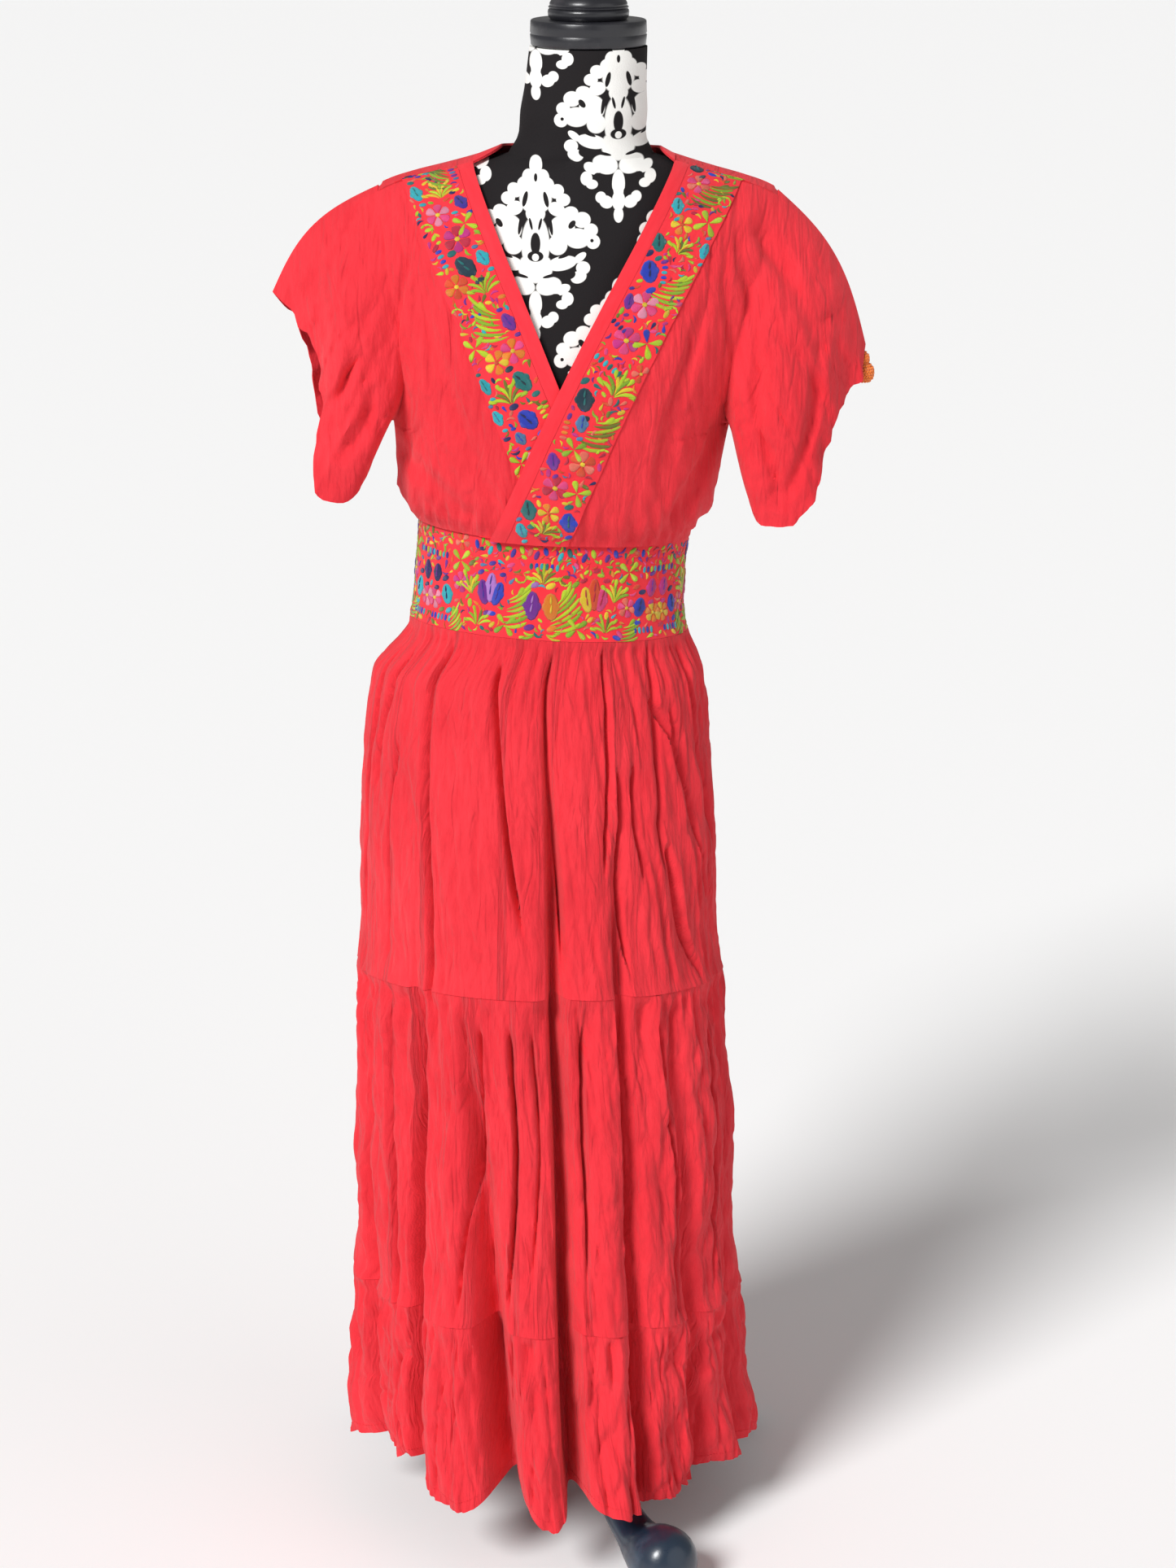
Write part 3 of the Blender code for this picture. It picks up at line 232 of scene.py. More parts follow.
# height, half width, front depth, back depth
BODICE = (
    (1.430, 0.205, 0.096, 0.096), (1.330, 0.205, 0.099, 0.097),
    (1.270, 0.203, 0.108, 0.100), (1.220, 0.192, 0.121, 0.102),
    (1.165, 0.176, 0.131, 0.104), (1.110, 0.158, 0.129, 0.106),
    (1.070, 0.152, 0.123, 0.107), (1.035, 0.142, 0.114, 0.103),
    (1.012, 0.129, 0.102, 0.095), (0.980, 0.127, 0.100, 0.094),
)
TORSO = (
    (1.430, 0.184, 0.092, 0.092), (1.330, 0.184, 0.093, 0.091),
    (1.270, 0.178, 0.099, 0.095), (1.220, 0.168, 0.112, 0.095),
    (1.165, 0.152, 0.122, 0.093), (1.110, 0.142, 0.112, 0.090),
    (1.060, 0.129, 0.097, 0.086), (1.012, 0.118, 0.088, 0.082),
    (0.965, 0.113, 0.084, 0.080), (0.920, 0.120, 0.087, 0.086),
    (0.860, 0.139, 0.095, 0.098), (0.800, 0.154, 0.101, 0.109),
    (0.740, 0.158, 0.103, 0.112), (0.690, 0.154, 0.100, 0.106),
    (0.660, 0.146, 0.095, 0.099),
)
NECK = (
    (1.4565, 0.0540, 0.0530, 0.0530), (1.4200, 0.0560, 0.0550, 0.0555),
    (1.3950, 0.0585, 0.0570, 0.0575), (1.3750, 0.0580, 0.0560, 0.0560),
    (1.3590, 0.0600, 0.0560, 0.0555),
)
# distance across, height of the shoulder's top line
RIDGE = (
    (0.000, 1.390), (0.050, 1.378), (0.073, 1.365), (0.100, 1.356),
    (0.125, 1.349), (0.150, 1.3425), (0.170, 1.3360), (0.185, 1.3280),
    (0.205, 1.308),
)
ridge_curve = table_curve(RIDGE, 1)


def axis_x(z):
    return AXIS_AT_WAIST + LEAN * (np.asarray(z, float) - WAIST_Z)


class Body:
    def __init__(self, table, inset):
        self.half_width = table_curve(table, 1)
        self.front = table_curve(table, 2)
        self.back = table_curve(table, 3)
        self.inset = inset

    def ridge(self, x):
        return ridge_curve(np.abs(x)) + SHOULDER_TILT * np.asarray(x) - self.inset

    def cap(self, x, z):
        t = (z - (self.ridge(x) - SHOULDER_ROUND)) / SHOULDER_ROUND
        return 1 - np.clip(t, 0, 1) ** 2

    def y(self, x, z, back):
        across = 1 - np.minimum(1, (x / self.half_width(z)) ** 2)
        d = (self.back(z) if back else self.front(z)) * np.sqrt(across * self.cap(x, z))
        return d if back else -d

    def place(self, x, z, back=False):
        """Points in the part's frame and their outward normals, as arrays (..., 3)."""
        x, z = np.broadcast_arrays(np.asarray(x, float), np.asarray(z, float))
        y = self.y(x, z, back)
        depth = self.back if back else self.front

        def level(px, py, pz):
            across = 1 - (px / self.half_width(pz)) ** 2
            return (py / depth(pz)) ** 2 - across * self.cap(px, pz)

        e = 1e-4
        gx = level(x + e, y, z) - level(x - e, y, z)
        gy = level(x, y + e, z) - level(x, y - e, z)
        gz = level(x, y, z + e) - level(x, y, z - e) - LEAN * gx
        return np.stack([axis_x(z) + x, y, z], -1), unit(np.stack([gx, gy, gz], -1), 1e-12)


bodice = Body(BODICE, 0.0)
torso = Body(TORSO, REST)


def waist_top(x, forward):
    return 1.0105 - 0.070 * x + 0.003 * forward


def waist_bottom(x, forward):
    return 0.9170 - 0.058 * x + 0.005 * forward


print("waistband from", round(waist_bottom(0, 1), 3), "to", round(float(waist_top(0, 1)), 3))

# %% [markdown]
# ## From a grid of points to cloth
# Every cloth piece is one thin closed wall. A sheet of points is the outside, and the inside
# lies one cloth thickness behind it, so cut edges have their real thin edge. The piece also
# gets a flat pattern in metres as its UV map, so that the weave keeps its true size and
# follows the cloth round every fold.


# %% Cloth wall maker
def grid_ids(rows, columns, start=0):
    return np.arange(rows * columns).reshape(rows, columns) + start


def quads_of(ids, closed=False, flip=False):
    """Faces of a grid that look at the viewer when rows run down and columns to the right."""
    right = np.roll(ids, -1, axis=1) if closed else ids[:, 1:]
    left = ids if closed else ids[:, :-1]
    faces = np.stack([left[:-1], left[1:], right[1:], right[:-1]], -1).reshape(-1, 4)
    return faces[:, ::-1] if flip else faces


def sheet_normals(points, quads):
    p = points[quads]
    n = np.cross(p[:, 2] - p[:, 0], p[:, 3] - p[:, 1])
    total = np.zeros_like(points)
    for k in range(4):
        np.add.at(total, quads[:, k], n)
    return unit(total, 1e-12)


def rim_of(quads):
    edges = np.concatenate([quads[:, [k, (k + 1) % 4]] for k in range(4)])
    edges = edges[edges[:, 0] != edges[:, 1]]
    known = {(int(a), int(b)) for a, b in edges}
    return np.array(sorted((a, b) for a, b in known if (b, a) not in known), int).reshape(-1, 2)


def set_uv(mesh, uv):
    """Gives a mesh its flat pattern, from one place for each point."""
    layer = mesh.uv_layers.new(name="UVMap")
    corner = np.empty(len(mesh.loops), int)
    mesh.loops.foreach_get("vertex_index", corner)
    layer.data.foreach_set("uv", np.asarray(uv, np.float32)[corner].ravel())


def new_mesh_object(name, points, faces, finish, uv=None):
    mesh = bpy.data.meshes.new(name)
    mesh.from_pydata(np.asarray(points).tolist(), [], [tuple(f) for f in faces])
    mesh.update()
    if uv is not None:
        set_uv(mesh, uv)
    mesh.shade_smooth()
    mesh.materials.append(finish)
    return link(bpy.data.objects.new(name, mesh))


def cloth_wall(name, points, quads, finish, uv, normals, thickness=CLOTH):
    """The sheet, its copy one thickness behind it and the thin edge between the two."""
    both = np.concatenate([points, points - normals * thickness])
    count = len(points)
    rim = rim_of(quads)
    sides = np.stack([rim[:, 1], rim[:, 0], rim[:, 0] + count, rim[:, 1] + count], -1)
    faces = quads.tolist() + (quads[:, ::-1] + count).tolist()
    faces = [f if len(set(f)) == 4 else list(dict.fromkeys(f)) for f in faces]
    made = new_mesh_object(name, both, faces + sides.tolist(), finish, np.concatenate([uv, uv]))
    made.data.set_sharp_from_angle(angle=math.radians(70))
    return made


def finish_piece(piece, slot, *nodes):
    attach(piece, "root")
    if nodes:
        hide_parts(*nodes)
    triangles = sum(len(p.vertices) - 2 for p in piece.data.polygons)
    print(piece.name, "triangles:", triangles)
    return piece


# %% [markdown]
# ## Shared surface effects
# Two effects are used by several finishes, so each is built once as a node group with named
# inputs. The first is a plain weave with the crinkle of washed gauze: a fine grid of threads
# bent by noise, and long soft ridges that run down the cloth. Its colour goes towards a shade
# colour in the troughs of the crinkle, which is painted shade, and also in random broad patches.
# The second is the fine unevenness of paint that has been handled for years.


# %% Gauze and wear groups
SURFACE = (("Colour", "NodeSocketColor"), ("Height", "NodeSocketFloat"), ("Roughness", "NodeSocketFloat"))


def new_group(name, inputs, outputs=SURFACE):
    """A node group that takes a place and these inputs."""
    group = bpy.data.node_groups.new(name, "ShaderNodeTree")
    group.interface.new_socket("Vector", in_out="INPUT", socket_type="NodeSocketVector")
    for label, value in inputs.items():
        kind = "NodeSocketColor" if isinstance(value, tuple) else "NodeSocketFloat"
        group.interface.new_socket(label, in_out="INPUT", socket_type=kind).default_value = value
    for label, kind in outputs:
        group.interface.new_socket(label, in_out="OUTPUT", socket_type=kind)
    given = group.nodes.new("NodeGroupInput").outputs
    return group, given, group.nodes.new("NodeGroupOutput").inputs


def node(tree, kind, links=None, **settings):
    """Adds a node, sets its properties and input values, and links what is linked."""
    made = tree.nodes.new(kind)
    for key, value in settings.items():
        setattr(made, key, value)
    for key, value in (links or {}).items():
        socket = made.inputs[key]
        if isinstance(value, bpy.types.NodeSocket):
            tree.links.new(value, socket)
        else:
            socket.default_value = value
    return made


def calc(tree, operation, *values):
    return node(tree, "ShaderNodeMath", dict(enumerate(values)), operation=operation).outputs[0]


def noise(tree, vector, scale, detail=2.0, **more):
    links = {"Vector": vector, "Scale": scale, "Detail": detail, **more}
    return node(tree, "ShaderNodeTexNoise", links).outputs["Fac"]


def stretch(tree, vector, by):
    return node(tree, "ShaderNodeVectorMath", {0: vector, 1: by}, operation="MULTIPLY").outputs[0]


def remap(tree, value, old, new, **settings):
    """The value from between the two old numbers to between the two new ones."""
    ends = dict(zip(("From Min", "From Max", "To Min", "To Max"), old + new))
    return node(tree, "ShaderNodeMapRange", {"Value": value, **ends}, **settings).outputs[0]


def blend(tree, share, one, two):
    links = {"Factor": share, 6: one, 7: two}
    return node(tree, "ShaderNodeMix", links, data_type="RGBA").outputs[2]


def put_out(tree, out, *values):
    for (label, _), value in zip(SURFACE, values):
        tree.links.new(value, out[label])
    return tree


def gauze_group():
    group, given, out = new_group("crinkled_gauze", {
        "Threads per metre": 1500.0, "Crinkle": 0.6, "Colour": (0.8, 0.02, 0.03, 1),
        "Shade": (0.5, 0.01, 0.02, 1),
    })
    vector = given["Vector"]
    crinkle = noise(group, stretch(group, vector, (150, 34, 60)), 1.0, 5.0, Roughness=0.62)
    split = node(group, "ShaderNodeSeparateXYZ", {0: vector})
    bend = noise(group, vector, 260.0, 1.0)
    rows = []
    for axis in ("X", "Y"):
        scaled = calc(group, "MULTIPLY", split.outputs[axis], given["Threads per metre"])
        wave = calc(group, "MULTIPLY", calc(group, "MULTIPLY_ADD", bend, 2.2, scaled), 3.14159)
        rows.append(calc(group, "ABSOLUTE", calc(group, "SINE", wave)))
    weave = calc(group, "MULTIPLY", *rows)
    broken = noise(group, stretch(group, vector, (62, 14, 24)), 1.0, 2.0, Distortion=0.9)
    broken = calc(group, "ABSOLUTE", calc(group, "SUBTRACT", broken, 0.5))
    broken = remap(group, broken, (0, 0.16), (0, 0.55), interpolation_type="SMOOTHSTEP")
    lump = calc(group, "MULTIPLY", calc(group, "ADD", crinkle, broken), given["Crinkle"])
    # Painted shade, with some random tone: the colour goes towards Shade where the crinkle is low, in its troughs,
    # and where the broad noise is low.
    tint = calc(group, "MULTIPLY", noise(group, vector, 7.0, 3.0), crinkle)
    tint = remap(group, tint, (0.12, 0.40), (0.55, 0.0))
    return put_out(
        group, out, blend(group, tint, given["Colour"], given["Shade"]),
        calc(group, "MULTIPLY_ADD", weave, 0.10, lump), remap(group, crinkle, (0, 1), (0.92, 0.74)),
    )


def wear_group():
    group, given, out = new_group("handled_paint", {
        "Colour": (0.02, 0.02, 0.025, 1), "Rubbed": (0.10, 0.09, 0.10, 1), "Amount": 0.3,
    })
    broad = noise(group, given["Vector"], 26.0, 5.0, Roughness=0.6)
    fine = noise(group, given["Vector"], 420.0)
    mask = calc(group, "MULTIPLY", remap(group, broad, (0.56, 0.72), (0, 1)), given["Amount"])
    return put_out(
        group, out, blend(group, mask, given["Colour"], given["Rubbed"]),
        calc(group, "MULTIPLY_ADD", fine, 0.3, broad), remap(group, broad, (0.3, 0.7), (0.26, 0.46)),
    )


GAUZE = gauze_group()
PAINT = wear_group()
print("groups:", GAUZE.name, PAINT.name)

# %% [markdown]
# ## The red gauze and the thread
# The dress is bright pinkish red cotton. Thin cloth lets some light through, and its fine
# fuzz catches light at the edges, so the finish has a little sheen and no gloss. Its colour
# has painted shade in the troughs of its crinkle. Embroidery thread is the opposite: it lies
# in close parallel rows and shines along them, and its colour has painted shade between the
# rows and a slight painted highlight on them. Each stitched shape carries its own thread
# colour as an attribute, and its UV map runs across the threads.


# %% Cloth and thread finishes
def finish_from(name, group, values, kind, bump, strength, look):
    """A finish whose colour, height and roughness come from a group placed by kind."""
    made, tree, shader = new_finish(name)
    effect = tree.nodes.new("ShaderNodeGroup")
    effect.node_tree = group
    tree.links.new(node(tree, "ShaderNodeTexCoord").outputs[kind], effect.inputs["Vector"])
    set_inputs(effect, values)
    raised_by = node(tree, "ShaderNodeBump", {
        "Height": effect.outputs["Height"], "Distance": bump, "Strength": strength,
    })
    tree.links.new(effect.outputs["Colour"], shader.inputs["Base Color"])
    tree.links.new(effect.outputs["Roughness"], shader.inputs["Roughness"])
    tree.links.new(raised_by.outputs["Normal"], shader.inputs["Normal"])
    set_inputs(shader, look)
    return made


# The Shade colours here are painted shade for the troughs of the crinkle.
red_gauze = finish_from(
    "crinkled_red_gauze", GAUZE,
    {"Threads per metre": 1500.0, "Crinkle": 1.0, "Colour": (0.84, 0.034, 0.050, 1),
     "Shade": (0.58, 0.010, 0.020, 1)},
    "UV", 0.0018, 1.0,
    {"Sheen Weight": 0.18, "Sheen Roughness": 0.5, "Sheen Tint": (1.0, 0.45, 0.45, 1),
     "Specular IOR Level": 0.25},
)
red_trim = finish_from(
    "red_trim", GAUZE,
    {"Threads per metre": 1900.0, "Crinkle": 0.25, "Colour": (0.84, 0.032, 0.048, 1),
     "Shade": (0.66, 0.012, 0.024, 1)},
    "UV", 0.0006, 1.0, {"Sheen Weight": 0.12, "Specular IOR Level": 0.25},
)


def thread_finish():
    made, tree, shader = new_finish("satin_thread")
    colour = node(tree, "ShaderNodeAttribute", attribute_name="thread")
    place = node(tree, "ShaderNodeTexCoord").outputs["UV"]
    threads = node(tree, "ShaderNodeTexWave", {
        "Vector": place, "Scale": 900.0, "Distortion": 1.5, "Detail": 2.0, "Detail Scale": 0.4,
    }, wave_type="BANDS", bands_direction="X").outputs["Fac"]
    # Painted shade and highlight: the thread colour is scaled from 0.62 in the grooves between the thread rows up to
    # 1.06 on their crests, along the same bands that make the bump.
    darker = remap(tree, threads, (0, 1), (0.62, 1.06))
    lit = node(tree, "ShaderNodeVectorMath", {0: colour.outputs["Color"], "Scale": darker}, operation="SCALE")
    bump = node(tree, "ShaderNodeBump", {"Height": threads, "Distance": 0.00022, "Strength": 0.9})
    rough = remap(tree, noise(tree, place, 300.0), (0, 1), (0.34, 0.52))
    tree.links.new(lit.outputs[0], shader.inputs["Base Color"])
    tree.links.new(rough, shader.inputs["Roughness"])
    tree.links.new(bump.outputs["Normal"], shader.inputs["Normal"])
    set_inputs(shader, {"Sheen Weight": 0.15, "Specular IOR Level": 0.45})
    return made


satin_thread = thread_finish()
print("finishes:", red_gauze.name, red_trim.name, satin_thread.name)

# %% [markdown]
# ## Bodice, sleeves and yoke
# Each front and the back are cut in one with their half of the short, wide sleeve, so no
# seam shows at the shoulder point. Gravity draws the cloth from the shoulder to the lowest
# point of the sleeve's hem, which leaves long soft folds there. They are placed from a table:
# troughs of uneven length, depth and spacing. A cloth simulation would lose the neat crossed
# neckline, so the bodice is shaped directly.

# %% Tables of the bodice
# height, distance across, for the two crossed neckline edges
NECKLINE = {
    -1: ((1.3520, -0.0980), (1.1620, -0.0047), (1.0130, 0.0640)),
    1: ((1.3540, 0.0860), (1.1620, -0.0047), (1.0130, -0.0600)),
}
ARMHOLE = (
    (1.325, 0.185), (1.300, 0.181), (1.250, 0.168), (1.200, 0.157), (1.150, 0.151),
    (1.125, 0.1530), (1.110, 0.1580),
)
# along the hem from the top of the arm to the underarm seam: across, forward, height
SLEEVE_HEM = {
    (-1, "front"): (
        (0.00, 0.2780, 0.000, 1.231), (0.12, 0.2470, 0.030, 1.205), (0.26, 0.2300, 0.056, 1.165),
        (0.40, 0.2225, 0.072, 1.130), (0.52, 0.2250, 0.082, 1.098), (0.63, 0.2215, 0.088, 1.062),
        (0.72, 0.1970, 0.090, 1.048), (0.82, 0.1800, 0.076, 1.066), (0.92, 0.1730, 0.042, 1.092),
        (1.00, 0.1700, 0.000, 1.109),
    ),
    (1, "front"): (
        (0.00, 0.2790, 0.000, 1.182), (0.10, 0.2750, 0.022, 1.158), (0.20, 0.2620, 0.040, 1.140),
        (0.32, 0.2560, 0.060, 1.116), (0.44, 0.2450, 0.076, 1.090), (0.56, 0.2420, 0.088, 1.063),
        (0.65, 0.2340, 0.092, 1.046), (0.74, 0.2140, 0.094, 1.032), (0.83, 0.1900, 0.084, 1.028),
        (0.92, 0.1720, 0.050, 1.064), (1.00, 0.1660, 0.000, 1.102),
    ),
    (-1, "back"): (
        (0.00, 0.2780, 0.000, 1.231), (0.14, 0.2560, 0.030, 1.198), (0.30, 0.2400, 0.058, 1.155),
        (0.44, 0.2320, 0.072, 1.115), (0.57, 0.2260, 0.080, 1.075), (0.68, 0.2030, 0.080, 1.050),
        (0.79, 0.1840, 0.066, 1.056), (0.90, 0.1730, 0.040, 1.082), (1.00, 0.1700, 0.000, 1.109),
    ),
    (1, "back"): (
        (0.00, 0.2790, 0.000, 1.182), (0.14, 0.2680, 0.032, 1.150), (0.30, 0.2560, 0.058, 1.118),
        (0.44, 0.2460, 0.072, 1.088), (0.57, 0.2340, 0.080, 1.058), (0.68, 0.2080, 0.080, 1.040),
        (0.79, 0.1850, 0.066, 1.046), (0.90, 0.1720, 0.040, 1.076), (1.00, 0.1660, 0.000, 1.102),
    ),
}
SLEEVE_SWELL = (
    (0.00, 0.0120, 0.000, 0.0115), (0.25, 0.0090, 0.009, 0.0080), (0.55, 0.0030, 0.013, 0.0020),
    (0.85, -0.0020, 0.008, 0.0040), (1.00, 0.0000, 0.000, 0.0030),
)
# troughs: both ends (across, height), half width and depth
FRONT_CREASES = {
    -1: (
        (-0.146, 1.300, -0.160, 1.150, 0.006, 0.004), (-0.214, 1.230, -0.232, 1.120, 0.007, 0.005),
        (-0.196, 1.180, -0.222, 1.132, 0.012, 0.009), (-0.176, 1.150, -0.200, 1.095, 0.012, 0.010),
        (-0.150, 1.090, -0.085, 1.040, 0.014, 0.006), (-0.230, 1.262, -0.262, 1.216, 0.014, 0.008),
        (-0.135, 1.250, -0.100, 1.120, 0.016, 0.004), (-0.205, 1.300, -0.236, 1.170, 0.009, 0.004),
        (-0.120, 1.200, -0.060, 1.060, 0.010, 0.003), (-0.175, 1.240, -0.212, 1.100, 0.008, 0.004),
        (-0.110, 1.075, -0.095, 1.030, 0.007, 0.003), (-0.128, 1.120, -0.150, 1.060, 0.008, 0.004),
    ),
    1: (
        (0.166, 1.300, 0.232, 1.185, 0.013, 0.011), (0.150, 1.290, 0.180, 1.130, 0.011, 0.007),
        (0.232, 1.185, 0.214, 1.060, 0.011, 0.010), (0.150, 1.128, 0.110, 1.035, 0.013, 0.008),
        (0.125, 1.240, 0.096, 1.060, 0.012, 0.005), (0.180, 1.110, 0.206, 1.050, 0.010, 0.007),
        (0.140, 1.300, 0.155, 1.180, 0.007, 0.004), (0.186, 1.270, 0.246, 1.130, 0.008, 0.005),
        (0.112, 1.200, 0.088, 1.070, 0.007, 0.003), (0.165, 1.240, 0.190, 1.090, 0.007, 0.004),
        (0.130, 1.080, 0.100, 1.020, 0.008, 0.004), (0.220, 1.250, 0.262, 1.165, 0.008, 0.004),
    ),
}
BACK_CREASES = (
    (-0.215, 1.285, -0.238, 1.140, 0.014, 0.010), (-0.170, 1.240, -0.205, 1.085, 0.013, 0.009),
    (-0.110, 1.250, -0.080, 1.040, 0.015, 0.006), (-0.040, 1.255, -0.030, 1.040, 0.014, 0.005),
    (0.032, 1.255, 0.026, 1.040, 0.014, 0.006), (0.105, 1.250, 0.076, 1.040, 0.015, 0.006),
    (0.166, 1.240, 0.200, 1.080, 0.013, 0.009), (0.214, 1.280, 0.240, 1.120, 0.014, 0.010),
    (-0.145, 1.200, -0.105, 1.060, 0.008, 0.004), (0.142, 1.190, 0.110, 1.060, 0.008, 0.004),
    (-0.070, 1.160, -0.058, 1.040, 0.007, 0.003), (0.070, 1.140, 0.060, 1.035, 0.007, 0.003),
)
neck_curve = {side: table_curve(rows, 1) for side, rows in NECKLINE.items()}
armhole_curve = table_curve(ARMHOLE, 1)


# %% Surface of the bodice and sleeves
def crease_depth(x, z, creases):
    pushed = np.zeros(np.broadcast(x, z).shape)
    for x1, z1, x2, z2, half, depth in creases:
        dx, dz = x2 - x1, z2 - z1
        t = ((x - x1) * dx + (z - z1) * dz) / (dx * dx + dz * dz)
        near = np.clip(t, 0, 1)
        bow = 0.006 * np.sin(np.pi * near) * (1 if depth > 0.005 else -1)
        away = np.hypot(x - x1 - near * dx - bow, z - z1 - near * dz) / half
        ends = ramp(near, -0.2, 0.35) * (1 - 0.5 * ramp(near, 0.7, 1.3))
        pushed = pushed + depth * ends * raised(away)
    return pushed


def crinkle(x, z, seed, size=0.0008):
    """Long soft ridges that washed gauze keeps, mostly running down."""
    lean = x + 0.18 * z
    fine = ripple(lean * 120, z * 26, seed) + 0.6 * ripple(lean * 210, z * 60, seed + 1)
    return size * fine + 1.7 * size * ripple(lean * 34, z * 9, seed + 2)


def armhole_height(side, along):
    top = float(bodice.ridge(side * SHOULDER_END))
    low = 1 - math.cos(math.pi / 2 * 0.3125)
    span = top - ARMPIT_Z
    start = 0.18 * span
    along = np.asarray(along, float)
    upper = top - start * (1 - np.cos(np.pi / 2 * np.clip(along * 1.25, 0, 1))) / low
    t = (along - 0.25) / 0.75
    return np.where(along < 0.25, upper, mix(top - start, ARMPIT_Z, t * (1.25 - 0.25 * t)))


def armhole_place(side, along, back):
    z = armhole_height(side, along)
    x = np.where(along < 1, armhole_curve(z), bodice.half_width(ARMPIT_Z))
    return bodice.place(side * x, z, back)[0]


def sleeve_points(side, half, along, out):
    """Points of the sleeve: along (rows) from the overarm to the underarm, out (columns)."""
    back = half == "back"
    facing = 1 if back else -1
    start = armhole_place(side, along, back)[:, None, :]
    hem = SLEEVE_HEM[(side, half)]
    across, forward, height = (table_curve(hem, k)(along) for k in (1, 2, 3))
    wave = 0.0022 * np.sin(along * 23 + side) * np.sin(np.pi * along)
    end = np.stack([axis_x(height) + side * across, facing * (forward + wave), height], -1)[:, None, :]
    swell = np.stack([table_curve(SLEEVE_SWELL, k)(along) for k in (1, 2, 3)], -1) * (side, facing, 1)
    u = out[None, :, None]
    p = start * (1 - u) + end * u + swell[:, None, :] * np.sin(np.pi * u)
    creases = BACK_CREASES if back else FRONT_CREASES[side]
    z = p[..., 2]
    x = p[..., 0] - axis_x(z)
    a = along[:, None] + 0 * x
    inner = ramp(a, 0, 0.12) * (1 - ramp(a, 0.9, 1)) * ramp(out, 0, 0.3)
    seed = 5 + side + (7 if back else 0)
    relief = crinkle(x, z + 0.6 * np.abs(x), seed, 0.0012)
    folded = crumple((np.abs(x) + 0.45 * z) * 46 + 9, (z - 0.5 * np.abs(x)) * 15 + 9, seed + 40)
    p[..., 1] -= facing * (crease_depth(x, z, creases) + relief + 0.0046 * folded) * inner
    ragged = 0.0044 * ripple(a * 9 + 3, 2 + 0 * x, seed + 60)
    ragged = ragged + 0.0028 * ripple(a * 26 + 3, 4 + 0 * x, seed + 61)
    p += (ragged * ramp(out, 0.80, 1.0) * inner)[..., None] * np.array([0.7 * side, 0.0, -0.7])
    p[..., 1] += facing * SEAM / 2
    return p


def spaced(count):
    return np.linspace(0, 1, count)


def gathered(x, away, size, waves, drift, fade):
    """Small puckers beside a seam, away from it, that fade out at fade."""
    folds = np.sin(x * waves + drift[0] * np.sin(x * drift[1]))
    return size * folds * ramp(away, 0.001, 0.012) * (1 - ramp(away, 0.012, fade))


ALONG = spaced(61)
OUT = spaced(43)
SIDE_ROWS = 22
BINDING_STEPS, BAND_STEPS, FILL_STEPS = 3, 10, 62
BINDING_WIDTH = 0.013
BAND_WIDTH = 0.051
EDGE_SLANT = 0.90
OVERLAP_STEP = 0.0040


def overlap_lift(side, x, z):
    """How far the left front stands off where it crosses the right one."""
    if side < 0:
        return 0 * x
    return OVERLAP_STEP * (1 - ramp(z, 1.20, 1.31)) * (1 - ramp(x, 0.095, 0.150))


